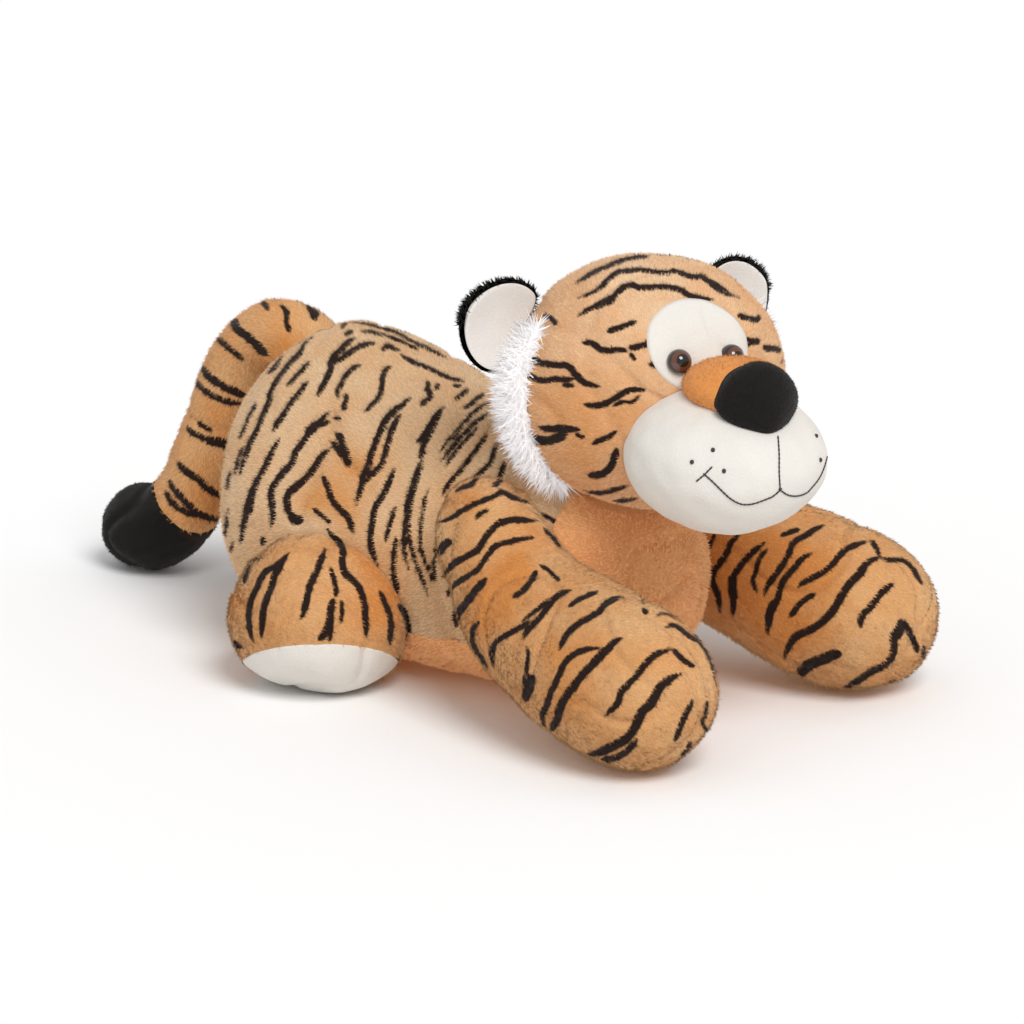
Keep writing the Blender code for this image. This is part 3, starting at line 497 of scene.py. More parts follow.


# Stripes, traced: half width, then points, in pixels of the photograph

BODY_STRIPES = (
    (1.6, (317, 323), (308, 331), (301, 338)),
    (1.5, (299, 335), (290, 343), (283, 352), (278, 363), (268, 375)),
    (1.8, (314, 336), (305, 344), (300, 354), (291, 362), (285, 370), (277, 381), (272, 390), (269, 402),
     (263, 416), (258, 428), (252, 440), (247, 452), (243, 465), (239, 478)),
    (1.5, (311, 361), (303, 370), (295, 378), (287, 387)),
    (1.8, (309, 380), (302, 390), (294, 400), (286, 411), (279, 422), (272, 433)),
    (2.0, (280, 437), (274, 449), (268, 461), (262, 473), (256, 484), (252, 492), (249, 502), (247, 511),
     (245, 520), (243, 533), (241, 545)),
    (1.4, (258, 484), (254, 494), (252, 505), (251, 515)),
    (2.2, (332, 411), (325, 416), (318, 423), (310, 429), (308, 435), (302, 444), (296, 452), (293, 462),
     (287, 469), (279, 478), (273, 487), (271, 497), (273, 508), (273, 518), (271, 530)),
    (1.4, (331, 422), (322, 425), (314, 431), (308, 437)),
    (2.4, (331, 449), (323, 455), (318, 462), (312, 472), (304, 480), (295, 488), (288, 495), (287, 504),
     (290, 513), (297, 518)),
    (3.2, (291, 515), (296, 521), (301, 519)),
    (2.1, (357, 337), (348, 343), (341, 350), (334, 357), (331, 363), (331, 369), (327, 378), (322, 388),
     (317, 398)),
    (1.8, (376, 343), (362, 346), (354, 350), (346, 356), (338, 361), (333, 366)),
    (1.7, (362, 365), (354, 368), (347, 375), (342, 383), (338, 392), (339, 400)),
    (1.7, (347, 393), (346, 402), (343, 412)),
    (1.4, (334, 418), (342, 419)),
    (2.4, (335, 434), (340, 436), (343, 445), (347, 456), (350, 468)),
    (1.8, (331, 441), (338, 450), (345, 460), (349, 468)),
    (2.2, (322, 474), (328, 487), (331, 497), (337, 506), (346, 515), (351, 524), (354, 535)),
    (1.4, (313, 508), (322, 516), (332, 524)),
    (1.8, (393, 367), (387, 369), (383, 377), (382, 387), (380, 397), (372, 405), (365, 413)),
    (1.5, (382, 352), (387, 346), (394, 349), (400, 351)),
    (1.3, (400, 354), (408, 360), (418, 364), (430, 369), (440, 374), (452, 379), (466, 382)),
    (1.1, (349, 322), (362, 323), (378, 327), (395, 332), (410, 340), (430, 350), (450, 360)),
    (1.1, (360, 331), (378, 334), (400, 341), (420, 351)),
    (1.4, (353, 330), (345, 336)),
    (1.2, (347, 322), (341, 329)),
    (2.2, (412, 397), (403, 405), (393, 412), (386, 420), (380, 432), (375, 445), (371, 456), (368, 467),
     (363, 478), (362, 487), (358, 498), (355, 508)),
    (2.0, (402, 413), (396, 422), (391, 434), (387, 447), (384, 459), (381, 466), (372, 475), (363, 484)),
    (2.0, (396, 466), (391, 478), (386, 490), (380, 500), (375, 508), (373, 520), (371, 532), (371, 545),
     (374, 556), (378, 567)),
    (1.5, (396, 505), (393, 516), (389, 528), (385, 543)),
    (1.8, (397, 536), (395, 550), (394, 565), (395, 580), (399, 596)),
    (1.8, (445, 406), (437, 415), (430, 426), (424, 436), (416, 444)),
    (1.6, (441, 412), (433, 428), (427, 440), (421, 452), (419, 458)),
    (1.4, (427, 450), (420, 465), (415, 478), (411, 490), (407, 503), (406, 515), (405, 530), (404, 545),
     (406, 558), (409, 570)),
    (1.4, (424, 462), (418, 478), (414, 492), (411, 505), (409, 520), (409, 535), (412, 550), (417, 565),
     (423, 580), (429, 598)),
    (1.2, (429, 487), (425, 500), (423, 515), (421, 530), (421, 545), (424, 558), (429, 570), (434, 585)),
    (1.7, (428, 380), (429, 390), (431, 397), (425, 402), (420, 407)),
    (1.4, (438, 383), (437, 390)),
    (1.3, (424, 391), (430, 388)),
    (1.2, (453, 386), (462, 386)),
    (1.4, (469, 389), (462, 395), (454, 401)),
    (1.4, (485, 394), (477, 399), (470, 405), (464, 409)),
    (1.3, (491, 402), (480, 408), (470, 417), (461, 427), (452, 437), (444, 447), (440, 453)),
    (1.3, (491, 412), (484, 417), (474, 424), (464, 434), (455, 444), (447, 454), (441, 462)),
    (1.2, (479, 426), (470, 436), (460, 447), (450, 460), (446, 468)),
    (1.6, (489, 429), (484, 439), (478, 448), (470, 458), (462, 469), (453, 479), (446, 489), (443, 500)),
    (1.7, (500, 440), (495, 450), (491, 462), (484, 470), (477, 477), (472, 484), (462, 488), (455, 492)),
    (1.6, (505, 461), (502, 472), (498, 483), (491, 486)),
    (1.1, (257, 402), (251, 414), (245, 427), (240, 440)),
    (1.0, (243, 447), (238, 460), (235, 475)),
    (1.0, (231, 470), (227, 490)),
    (1.1, (229, 508), (227, 525), (225, 540), (223, 555)),
    (1.2, (234, 541), (230, 555), (230, 570), (233, 580)),
    (1.9, (265, 537), (262, 545)),
    (1.7, (439, 522), (447, 520), (457, 514), (468, 507), (476, 503), (490, 498), (502, 492), (510, 496),
     (520, 500), (530, 503)),
    (1.4, (475, 520), (481, 513), (488, 510)),
    (2.8, (435, 550), (440, 551), (444, 545), (451, 541)),
    (2.2, (443, 580), (447, 571), (455, 563), (465, 557), (475, 552), (481, 545), (487, 535), (493, 528),
     (500, 523), (510, 520), (525, 520), (538, 521)),
    (1.9, (448, 598), (450, 590), (458, 582), (468, 576), (477, 570), (483, 562), (489, 553), (496, 546),
     (508, 542), (522, 539), (535, 537)),
    (1.2, (436, 553), (434, 568), (437, 582)),
    (2.6, (457, 628), (457, 615), (463, 607), (470, 598), (476, 590), (482, 583), (487, 577)),
    (1.7, (480, 621), (474, 627), (472, 638), (475, 648), (481, 658), (488, 668)),
    (1.3, (540, 512), (552, 520), (562, 530), (570, 541), (576, 553)),
    (1.2, (543, 528), (553, 538), (561, 549)),
    (1.9, (493, 668), (492, 652), (496, 642), (505, 636), (515, 630), (523, 626), (530, 620)),
    (2.0, (522, 640), (527, 631), (534, 624), (541, 616), (547, 608), (553, 600), (560, 594), (572, 590)),
    (1.4, (521, 622), (530, 615), (540, 607), (550, 598)),
    (2.0, (512, 598), (520, 593), (528, 585), (533, 577), (537, 570)),
    (1.3, (560, 581), (553, 575), (547, 569), (539, 565)),
    (1.6, (568, 607), (578, 600), (589, 595), (598, 591)),
    (2.1, (559, 652), (562, 643), (568, 633), (577, 625), (587, 619), (598, 612), (607, 603), (617, 598),
     (625, 597)),
    (2.8, (547, 738), (551, 730), (557, 720), (560, 708), (566, 696), (574, 686), (582, 675), (592, 665),
     (600, 656), (608, 648), (616, 641), (624, 637)),
    (2.0, (545, 728), (542, 715), (547, 705), (551, 692), (557, 680), (562, 668), (568, 659), (578, 652),
     (588, 649), (600, 648)),
    (2.2, (604, 717), (612, 709), (618, 702), (621, 692), (630, 683), (640, 671), (648, 661), (656, 654),
     (665, 651), (672, 648)),
    (1.8, (672, 648), (678, 655), (686, 662), (695, 667)),
    (3.2, (585, 755), (600, 752), (615, 745), (627, 738), (635, 727), (641, 713), (650, 704), (656, 694),
     (663, 684), (673, 677), (682, 673)),
    (2.2, (600, 760), (617, 757), (630, 748), (637, 738)),
    (2.0, (674, 742), (680, 727), (686, 713), (691, 704), (692, 699)),
    (1.3, (707, 700), (706, 712), (702, 722), (706, 730), (702, 738)),
    (1.4, (681, 757), (688, 748), (690, 740)),
    (1.7, (642, 599), (644, 602)),
    (1.9, (644, 610), (646, 612)),
    (1.4, (655, 617), (663, 613), (673, 615), (684, 622), (694, 634), (704, 648), (712, 664), (718, 685),
     (720, 700)),
    (1.5, (664, 627), (672, 625), (680, 629), (688, 635), (697, 642)),
    (3.2, (526, 700), (527, 693), (530, 686), (532, 675)),
    (3.0, (566, 752), (572, 750)),
    (1.3, (523, 690), (524, 680), (527, 668), (528, 655), (526, 645)),
    (2.0, (290, 552), (284, 558), (276, 566), (266, 571), (260, 580), (256, 590), (251, 600), (249, 612),
     (249, 624), (251, 636), (254, 643)),
    (2.3, (287, 556), (281, 565), (275, 575), (271, 588), (266, 600), (263, 613), (262, 626), (261, 638)),
    (2.3, (325, 548), (321, 560), (316, 572), (310, 585), (307, 597), (305, 608), (300, 620)),
    (2.3, (327, 527), (333, 537), (340, 543), (343, 553), (342, 562), (344, 572), (352, 580), (359, 588),
     (363, 598), (365, 612), (366, 628), (366, 638)),
    (1.5, (330, 566), (333, 578), (336, 588), (335, 598)),
    (2.5, (334, 598), (331, 607), (330, 618), (326, 630), (318, 641)),
    (1.8, (331, 608), (331, 622), (330, 636), (329, 642)),
    (1.3, (341, 600), (342, 612), (340, 624)),
    (2.0, (379, 590), (386, 606), (390, 618), (391, 630), (389, 645)),
    (2.1, (397, 603), (404, 612), (408, 625), (409, 640), (406, 655)),
    (1.5, (262, 557), (252, 562), (247, 572), (244, 584)),
    (1.7, (222, 618), (226, 632), (234, 643), (243, 648)),
    (1.6, (384, 665), (395, 662), (404, 656)),
)
TAIL_STRIPES = (
    (2.6, (296, 292), (304, 299), (311, 308), (316, 321)),
    (2.0, (308, 296), (314, 305), (318, 318)),
    (1.7, (281, 306), (287, 313), (287, 322), (290, 333)),
    (1.9, (257, 297), (263, 302), (269, 310)),
    (2.8, (235, 313), (233, 318), (238, 329), (250, 338), (262, 350), (270, 356)),
    (1.8, (215, 335), (222, 342), (234, 352), (244, 360)),
    (2.5, (201, 364), (207, 374), (220, 384), (236, 392), (248, 397)),
    (2.0, (196, 377), (199, 385), (210, 394), (226, 401), (243, 403)),
    (1.5, (198, 421), (205, 427), (214, 430)),
    (1.9, (187, 425), (192, 432), (205, 438), (218, 440), (229, 441)),
    (2.6, (205, 439), (218, 443), (230, 446)),
    (2.4, (177, 460), (185, 470), (197, 478), (208, 488), (221, 497)),
    (2.2, (168, 479), (176, 491), (186, 502), (197, 512), (208, 517), (221, 519)),
    (2.0, (165, 490), (172, 502), (184, 511), (200, 516)),
    (2.0, (178, 530), (190, 536), (203, 540), (214, 543)),
)
FAR_LEG_STRIPES = (
    (1.5, (715, 534), (709, 546), (704, 558)),
    (2.0, (740, 533), (731, 543), (725, 556), (716, 568), (712, 580), (717, 592), (719, 603), (720, 613)),
    (2.0, (765, 542), (755, 550), (745, 560), (737, 571), (732, 580), (733, 592), (733, 605), (733, 618)),
    (3.0, (733, 574), (732, 588), (734, 600)),
    (1.5, (768, 548), (760, 558), (756, 570), (753, 582), (757, 594)),
    (2.0, (703, 576), (705, 590), (702, 600), (698, 606)),
    (2.0, (825, 524), (814, 530), (803, 537), (793, 543), (788, 555), (780, 568), (773, 578), (767, 586),
     (763, 598)),
    (1.6, (800, 529), (790, 532), (780, 536)),
    (2.1, (813, 552), (803, 558), (795, 567), (786, 577), (780, 588), (777, 600), (771, 612), (768, 625),
     (767, 636)),
    (3.0, (775, 600), (770, 612), (768, 622)),
    (2.0, (867, 541), (855, 545), (845, 550), (838, 557), (832, 565), (822, 573), (812, 578), (803, 583),
     (797, 588)),
    (1.9, (816, 593), (807, 598), (798, 606), (789, 618)),
    (2.7, (880, 557), (868, 562), (860, 573), (850, 583), (842, 595), (836, 606), (827, 617), (818, 625),
     (808, 631), (798, 635), (792, 641), (787, 650), (784, 660)),
    (1.5, (880, 557), (890, 560), (902, 560), (912, 568), (922, 585)),
    (1.5, (870, 540), (876, 548), (879, 556)),
    (2.3, (894, 583), (885, 589), (877, 598), (869, 608), (861, 618), (861, 629)),
    (2.4, (905, 619), (898, 628), (893, 636), (894, 648), (891, 658), (884, 665), (872, 671), (862, 678),
     (852, 684), (842, 689)),
    (3.8, (903, 622), (899, 630), (895, 636)),
    (1.9, (905, 622), (909, 632), (914, 642), (918, 653)),
    (3.8, (842, 654), (832, 655), (823, 659), (812, 663), (804, 669), (797, 677)),
    (1.6, (896, 680), (886, 685), (876, 689), (866, 691)),
    (1.4, (924, 645), (923, 660)),
)
HEAD_STRIPES = (
    (1.7, (575, 284), (590, 275), (600, 270), (612, 265), (625, 260), (640, 257), (655, 255)),
    (1.8, (577, 299), (590, 294), (600, 288), (608, 280), (617, 273), (628, 271), (640, 270), (655, 272),
     (668, 273), (675, 271), (685, 275), (695, 277), (703, 277), (710, 284), (718, 290), (725, 294),
     (733, 296), (741, 299)),
    (1.3, (697, 275), (706, 279), (715, 284), (723, 289), (729, 293)),
    (2.2, (577, 317), (590, 309), (601, 304), (611, 302), (617, 293), (625, 287), (634, 285), (641, 288),
     (655, 287), (668, 287), (680, 290), (690, 296), (700, 298), (714, 300)),
    (2.8, (594, 307), (604, 303), (613, 297)),
    (1.8, (543, 316), (551, 318), (557, 325)),
    (2.1, (607, 333), (614, 329), (625, 326), (637, 321)),
    (2.5, (520, 357), (527, 355), (534, 360), (545, 364), (558, 365), (568, 366), (574, 372), (580, 379),
     (588, 384), (601, 387)),
    (2.1, (516, 364), (519, 373), (530, 376), (542, 381), (555, 379), (566, 380), (576, 378)),
    (1.5, (562, 385), (575, 386)),
    (1.9, (516, 383), (516, 393)),
    (2.2, (582, 343), (592, 343), (600, 349), (610, 351), (620, 350), (628, 352)),
    (2.4, (629, 349), (640, 346), (651, 343)),
    (1.5, (630, 353), (636, 361)),
    (2.0, (649, 364), (657, 366), (663, 371)),
    (2.3, (583, 404), (595, 406), (605, 404), (614, 399), (622, 394), (632, 390), (646, 390)),
    (1.4, (612, 407), (622, 402), (632, 402), (641, 395)),
    (2.6, (539, 427), (550, 429), (560, 428), (570, 429), (581, 430)),
    (3.6, (531, 438), (545, 441), (558, 438), (568, 432)),
    (1.4, (575, 434), (585, 438)),
    (1.8, (526, 431), (531, 440)),
    (1.7, (527, 444), (532, 456), (538, 468)),
    (1.9, (591, 444), (600, 441), (610, 436), (617, 431)),
    (2.8, (587, 475), (598, 475), (606, 472), (612, 465), (615, 456), (617, 447)),
    (1.5, (535, 468), (545, 475), (557, 482)),
    (1.7, (565, 489), (575, 492), (590, 493), (605, 492), (617, 489), (629, 485)),
    (1.7, (558, 497), (572, 502), (588, 505), (604, 505), (620, 501), (638, 498)),
    (1.9, (737, 315), (746, 318), (757, 320), (758, 315)),
    (1.6, (735, 333), (741, 338), (750, 340), (761, 340)),
    (1.4, (745, 347), (752, 343), (760, 343)),
    (2.3, (762, 348), (772, 349), (781, 351)),
    (1.7, (781, 363), (786, 361), (791, 369)),
)

# Stripes of the sides that the photograph doesn't show, in millimetres seen from behind

RUMP_STRIPES = (
    (2.4, (-30, 180), (-38, 150), (-36, 120), (-48, 92)),
    (2.1, (-8, 172), (-12, 140), (-6, 112), (-14, 84)),
    (2.4, (22, 178), (28, 150), (20, 124), (30, 98)),
    (2.1, (52, 190), (60, 160), (56, 132), (68, 104)),
    (2.1, (-62, 186), (-70, 158), (-66, 130), (-80, 100)),
    (1.9, (-24, 96), (-30, 70), (-24, 44)),
    (2.1, (8, 88), (2, 62), (12, 36)),
    (1.9, (44, 92), (50, 66), (44, 40)),
    (1.9, (-56, 84), (-64, 56), (-60, 34)),
    (1.9, (78, 90), (84, 62), (80, 40)),
    (1.8, (-88, 80), (-94, 54), (-86, 32)),
    (2.0, (90, 170), (98, 140), (96, 112)),
    (2.0, (-94, 168), (-104, 138), (-100, 112)),
)
NAPE_STRIPES = (
    (2.2, (-70, 60), (-40, 72), (-5, 66), (30, 74), (66, 60)),
    (2.2, (-84, 30), (-50, 42), (-14, 34), (22, 44), (60, 34), (84, 28)),
    (2.6, (-60, 8), (-26, 14), (8, 6), (44, 14)),
    (2.0, (-92, -4), (-64, -12), (-40, -8)),
    (2.0, (50, -12), (74, -6), (92, -12)),
    (2.2, (-48, -26), (-16, -20), (18, -28), (50, -22)),
    (2.0, (-76, -38), (-48, -46), (-20, -42)),
    (2.0, (16, -48), (44, -44), (72, -52)),
    (2.0, (-44, -66), (-10, -70), (26, -66)),
)


# Marks on a form: stripes, and orange patches that are partly painted shade and light, by where its points
# fall in the photograph

STRIPE_REACH = 8.0
STRIPE_BOLDNESS = 1.4
HEAD_BOLDNESS = 1.25
STRIPE_SPREAD = 0.4
STRIPE_TAPER_SHARE = 0.16
STRIPE_FADE = 3.0
LINE_STEPS = 3
FACING_EDGE = 0.06
FACING_FULL = 0.20
MILLIMETRE = 0.001


def smooth_line(line):
    """Points along a soft curve through a traced line."""
    line = np.array(line, float)
    ends = np.vstack([2 * line[0] - line[1], line, 2 * line[-1] - line[-2]])
    curve = [line[0]]
    for number in range(len(line) - 1):
        before, start, end, after = ends[number:number + 4]
        for step in range(1, LINE_STEPS + 1):
            share = step / LINE_STEPS
            bend = (2 * before - 5 * start + 4 * end - after) * share ** 2
            twist = (3 * start - before - 3 * end + after) * share ** 3
            curve.append((2 * start + (end - before) * share + bend + twist) / 2)
    return np.array(curve)


def to_pixels(points):
    """Where points fall in the photograph."""
    local = (points - np.array(EYE_POINT)) @ np.array(TO_WORLD)
    across = IMAGE_SIDE / 2 - local[:, 0] / local[:, 2] * FOCAL_PIXELS
    down = IMAGE_SIDE / 2 + local[:, 1] / local[:, 2] * FOCAL_PIXELS
    return np.stack([across, down], axis=1)


def smooth_share(values, low, high):
    share = np.clip((values - low) / (high - low), 0, 1)
    return share * share * (3 - 2 * share)


def stripe_depth(places, stripes, boldness):
    """How far inside the nearest stripe each place lies; negative outside."""
    best = np.full(len(places), -STRIPE_REACH)
    for traced, *line in stripes:
        half = traced * boldness + STRIPE_SPREAD
        curve = smooth_line(line)
        reach = half + STRIPE_REACH
        near = np.all((places > curve.min(axis=0) - reach) & (places < curve.max(axis=0) + reach), axis=1)
        if not near.any():
            continue
        steps = np.linalg.norm(np.diff(curve, axis=0), axis=1)
        before = 0
        for start, end, step in zip(curve, curve[1:], steps):
            distance, share = segment_distance(places[near], start, end)
            along = (before + share * step) / steps.sum()
            taper = np.clip(np.minimum(along, 1 - along) / STRIPE_TAPER_SHARE, 0, 1) ** 0.5
            best[near] = np.maximum(best[near], half * taper - distance)
            before += step
    return best


def moved(points, matrix):
    matrix = np.array(matrix)
    return points @ matrix[:3, :3].T + matrix[:3, 3]


def pointed(normals, matrix):
    return normals @ np.array(matrix)[:3, :3].T


UNMOVED = Matrix.Identity(4)
BODY_MIRROR = Matrix.Diagonal((-1, 1, 1, 1))
HEAD_MIRROR = HEAD @ BODY_MIRROR @ HEAD.inverted()
NAPE = HEAD @ Matrix.Diagonal((1, -1, 1, 1))


def mirrored_line(line):
    return [BODY_MIRROR @ point for point in line]


def mark_stripes(item, own, other, mirror=BODY_MIRROR, back=(), back_frame=UNMOVED, seat=UNMOVED,
                 boldness=STRIPE_BOLDNESS):
    """Store the stripes a form shows, those of its mirror image where it's unseen, and those behind."""
    points = moved(read_points(item), seat)
    normals = pointed(read_normals(item), seat)
    inward = back_frame.inverted()
    view = np.array(VIEW)
    sources = (
        (to_pixels(points), normals @ view, own),
        (to_pixels(moved(points, mirror)), pointed(normals, mirror) @ view, other),
        (moved(points, inward)[:, (0, 2)] / MILLIMETRE, pointed(normals, inward)[:, 1], back),
    )
    depth = np.full(len(points), -STRIPE_REACH)
    taken = np.zeros(len(points), bool)
    for places, facing, stripes in sources:
        use = ~taken & (facing > FACING_EDGE)
        fade = STRIPE_FADE * (1 - smooth_share(facing[use], FACING_EDGE, FACING_FULL))
        depth[use] = stripe_depth(places[use], stripes, boldness) - fade
        taken |= use
    write_mark(item, "stripe", depth)


def mark_plain(item, keep=True):
    """Store that a form has no stripes, unless it has some to keep."""
    if not (keep and has_mark(item, "stripe")):
        write_mark(item, "stripe", np.full(len(item.data.vertices), -STRIPE_REACH))


def mark_orange_shade(item, spots, base, mirror=BODY_MIRROR):
    """Store how orange the pile is, partly painted shade: a base share and soft spots of (across, down,
    radius, amount).
    """
    points = read_points(item)
    normals = read_normals(item)
    seen = normals @ np.array(VIEW) > 0
    places = np.where(seen[:, None], to_pixels(points), to_pixels(moved(points, mirror)))
    orange_shade_values = np.full(len(points), float(base))
    for across, down, radius, amount in spots:
        distance = np.linalg.norm(places - np.array((across, down)), axis=1)
        orange_shade_values += amount * np.exp(-(distance / radius) ** 2)
    write_mark(item, "orange_shade", orange_shade_values)


def cast_line(tree, line, lift=0.0):
    """Where a traced line falls on a form, as 3-D points."""
    found = []
    for across, down in smooth_line(line):
        place, normal, _, _ = tree.ray_cast(EYE_POINT, pixel_ray(across, down))
        if place is not None:
            found.append(place + normal * lift)
    return found


# Orange share of each piece's pile, then soft spots of (across, down, radius, amount): partly the fabric's
# deeper orange and partly painted shade in creases and lower parts; the head's negative spot paints its top
# lighter.
TORSO_WARMTH = 0.30
LIMB_WARMTH = 0.55
TAIL_WARMTH = 0.55
HEAD_WARMTH = 0.50
BODY_ORANGE_SHADE_SPOTS = (
    (325, 490, 22, 0.6), (350, 462, 16, 0.5), (375, 470, 24, 0.4), (385, 560, 34, 0.45),
    (345, 512, 20, 0.5), (310, 505, 14, 0.5), (510, 575, 30, 0.5), (490, 612, 26, 0.4),
    (545, 650, 30, 0.25), (575, 700, 36, 0.25), (600, 655, 18, 0.2), (470, 505, 16, 0.3),
    (375, 612, 30, 0.4), (240, 600, 16, 0.3), (290, 590, 40, 0.15),
)
TAIL_ORANGE_SHADE_SPOTS = ((285, 345, 28, 0.3), (225, 412, 26, 0.3), (212, 500, 30, 0.4))
FAR_ORANGE_SHADE_SPOTS = ((735, 562, 50, 0.7), (800, 580, 42, 0.5), (790, 642, 26, 0.4))
HEAD_ORANGE_SHADE_SPOTS = ((560, 462, 42, 0.3), (540, 400, 32, 0.2), (600, 424, 32, 0.25), (640, 270, 60, -0.3))


# Finishing a form: contact with its neighbours, seams, wrinkles

CONTACT_GAP = 0.0008
NECK_GAP = 0.0018
PILE_CLEARANCE = 0.0035
FLOOR_PILE_GAP = PILE_CLEARANCE / 4
PANEL_CLEARANCE = 0.0014
LUMP_HEIGHT = 0.0026
LUMP_SCALE = 17
WRINKLE_HEIGHT = 0.0010
WRINKLE_SCALE = 60
CREASE_SCALE = 13
CREASE_WIDTH = 0.07
CREASE_DEPTH = 0.0024
HAUNCH_SEAMS = (
    ((333, 413), (336, 432), (343, 450), (351, 470)),
    ((332, 415), (322, 450), (308, 484), (300, 506), (297, 520)),
)
SHOULDER_SEAM = ((498, 425), (470, 458), (447, 495), (432, 528), (431, 560), (439, 596), (455, 645))
NEAR_PAW_SEAM = ((655, 592), (668, 612), (673, 640), (684, 662), (696, 690), (701, 716), (703, 738))
FAR_PAW_SEAM = ((866, 536), (882, 552), (893, 572), (901, 596), (905, 622), (915, 648))
FOOT_SEAM = ((333, 528), (332, 548), (331, 570), (335, 592), (333, 614), (329, 642))
SEAM_DEPTH = 0.0035
SEAM_WIDTH = 0.006
FINE_SEAM_DEPTH = 0.0018
FINE_SEAM_WIDTH = 0.004


def lumps(seed, crease_depth=CREASE_DEPTH):
    """Field of the soft lumps, small wrinkles and creases of stuffed fabric."""
    def field(points):
        big = ruffle(points, LUMP_SCALE, seed) * LUMP_HEIGHT
        small = ruffle(points, WRINKLE_SCALE, seed + 1) * WRINKLE_HEIGHT
        away = np.abs(ruffle(points, CREASE_SCALE, seed + 2)) / CREASE_WIDTH
        return big + small - crease_depth * np.exp(-away * away)
    return field


def read_growth(item):
    """Where pile grows on a form; it grows all over one that has no such mark."""
    values = np.ones(len(item.data.vertices), dtype=np.float32)
    if has_mark(item, "growth"):
        item.data.attributes["growth"].data.foreach_get("value", values)
    return values


def mark_growth(item, allowed):
    """Pile grows where a vertex is allowed to have it, on top of what was stored before."""
    write_mark(item, "growth", read_growth(item) * allowed)


def keep_clear(item, tree, gap, moves):
    """Press a form out of a neighbour at each of its moves; no pile grows where it gave way."""
    before = read_points(item)
    for move in moves:
        press_out(item, tree, gap, move)
    shift = np.linalg.norm(read_points(item) - before, axis=1)
    mark_growth(item, shift < CONTACT_GAP)


def thin_near(item, trees, reach=PILE_CLEARANCE, moves=(UNMOVED,)):
    """No pile where another form lies within reach, at any of the places that moves take this one to."""
    points = read_points(item)
    allowed = points[:, 2] > FLOOR_PILE_GAP
    for move in moves:
        places = moved(points, move)
        for number in np.flatnonzero(allowed):
            place = Vector(places[number])
            if any(tree.find_nearest(place, reach)[0] is not None for tree in trees):
                allowed[number] = False
    mark_growth(item, allowed)


def mark_flow(item, direction):
    """Store the way the pile lies; direction(points) gives a vector for each point."""
    write_mark(item, "flow", direction(read_points(item)))


def along(way):
    """Pile that lies one way all over."""
    return lambda points: np.tile(tuple(way), (len(points), 1))


def away_from(centre):
    """Pile that lies away from a point."""
    def direction(points):
        way = points - np.array(centre)
        return way / np.linalg.norm(way, axis=1)[:, None]
    return direction


# Panels: thin closed pieces that lie on a form

PANEL_SINK = 0.0015
PANEL_RINGS = 16
PANEL_SPOKES = 72
PANEL_EDGE_POWER = 10
RIM_PASSES = 24


def closed_panel(outer, inner, rows, spokes, name):
    """Closed piece from two polar grids of points, each a centre and then its rows."""
    work = bmesh.new()
    layers = []
    for points in (outer, inner):
        layers.append([work.verts.new(point) for point in points])
    for verts in layers:
        for spoke in range(spokes):
            other = (spoke + 1) % spokes
            work.faces.new((verts[0], verts[1 + spoke], verts[1 + other]))
            for row in range(rows - 1):
                near = 1 + row * spokes
                far = near + spokes
                corners = (near + spoke, far + spoke, far + other, near + other)
                work.faces.new([verts[corner] for corner in corners])
    rim = 1 + (rows - 1) * spokes
    for spoke in range(spokes):
        other = (spoke + 1) % spokes
        top, bottom = layers
        work.faces.new((top[rim + spoke], bottom[rim + spoke], bottom[rim + other], top[rim + other]))
    bmesh.ops.recalc_face_normals(work, faces=work.faces)
    item = object_from(work, name)
    item.data.shade_smooth()
    return item


def oval_panel(tree, centre, across, up, toward, lift, name):
    """Oval panel cast onto a form; across and up are half widths as vectors."""
    outer = []
    inner = []
    for row in range(PANEL_RINGS + 1):
        share = row / PANEL_RINGS
        for spoke in range(PANEL_SPOKES if row else 1):
            angle = 2 * math.pi * spoke / PANEL_SPOKES
            start = centre + across * math.cos(angle) * share + up * math.sin(angle) * share - toward
            place, normal, _, _ = tree.ray_cast(start, toward.normalized())
            outer.append(place + normal * lift * (1 - share ** PANEL_EDGE_POWER))
            inner.append(place - normal * PANEL_SINK)
    return closed_panel(outer, inner, PANEL_RINGS, PANEL_SPOKES, name)


MARK_SIZES = (("stripe", 1), ("orange_shade", 1), ("growth", 1), ("flow", 3))


def skin_panel(item, inside, lift, name):
    """Closed panel over the faces of a form whose vertices all lie inside.

    It keeps their marks. Pile grows on its outer skin alone, and no more on the form below it.
    """
    points = read_points(item)
    normals = read_normals(item)
    faces = [tuple(face.vertices) for face in item.data.polygons if all(inside[list(face.vertices)])]
    used = sorted({corner for face in faces for corner in face})
    place = {corner: number for number, corner in enumerate(used)}
    outer = [tuple(place[corner] for corner in face) for face in faces]
    edges = {(start, end) for face in outer for start, end in zip(face, face[1:] + face[:1])}
    rim = [(start, end) for start, end in edges if (end, start) not in edges]
    count = len(used)
    spread = smooth_rim(points[used], rim)
    inner = [tuple(corner + count for corner in reversed(face)) for face in outer]
    walls = [(end, start, start + count, end + count) for start, end in rim]
    shell = np.vstack([spread + normals[used] * lift, spread - normals[used] * PANEL_SINK])
    mesh = bpy.data.meshes.new(name)
    mesh.from_pydata(shell.tolist(), [], outer + inner + walls)
    panel = bpy.data.objects.new(name, mesh)
    bpy.context.collection.objects.link(panel)
    mesh.shade_smooth()
    for mark, width in MARK_SIZES:
        if not has_mark(item, mark):
            continue
        values = np.empty(len(points) * width, dtype=np.float32)
        item.data.attributes[mark].data.foreach_get("value" if width == 1 else "vector", values)
        chosen = values.reshape(-1, width)[used]
        if width == 1:
            write_mark(panel, mark, np.concatenate([chosen, np.zeros_like(chosen)]).ravel())
        else:
            write_mark(panel, mark, np.concatenate([chosen, chosen]))
    mark_growth(panel, np.arange(2 * count) < count)
    mark_growth(item, ~inside)
    return panel


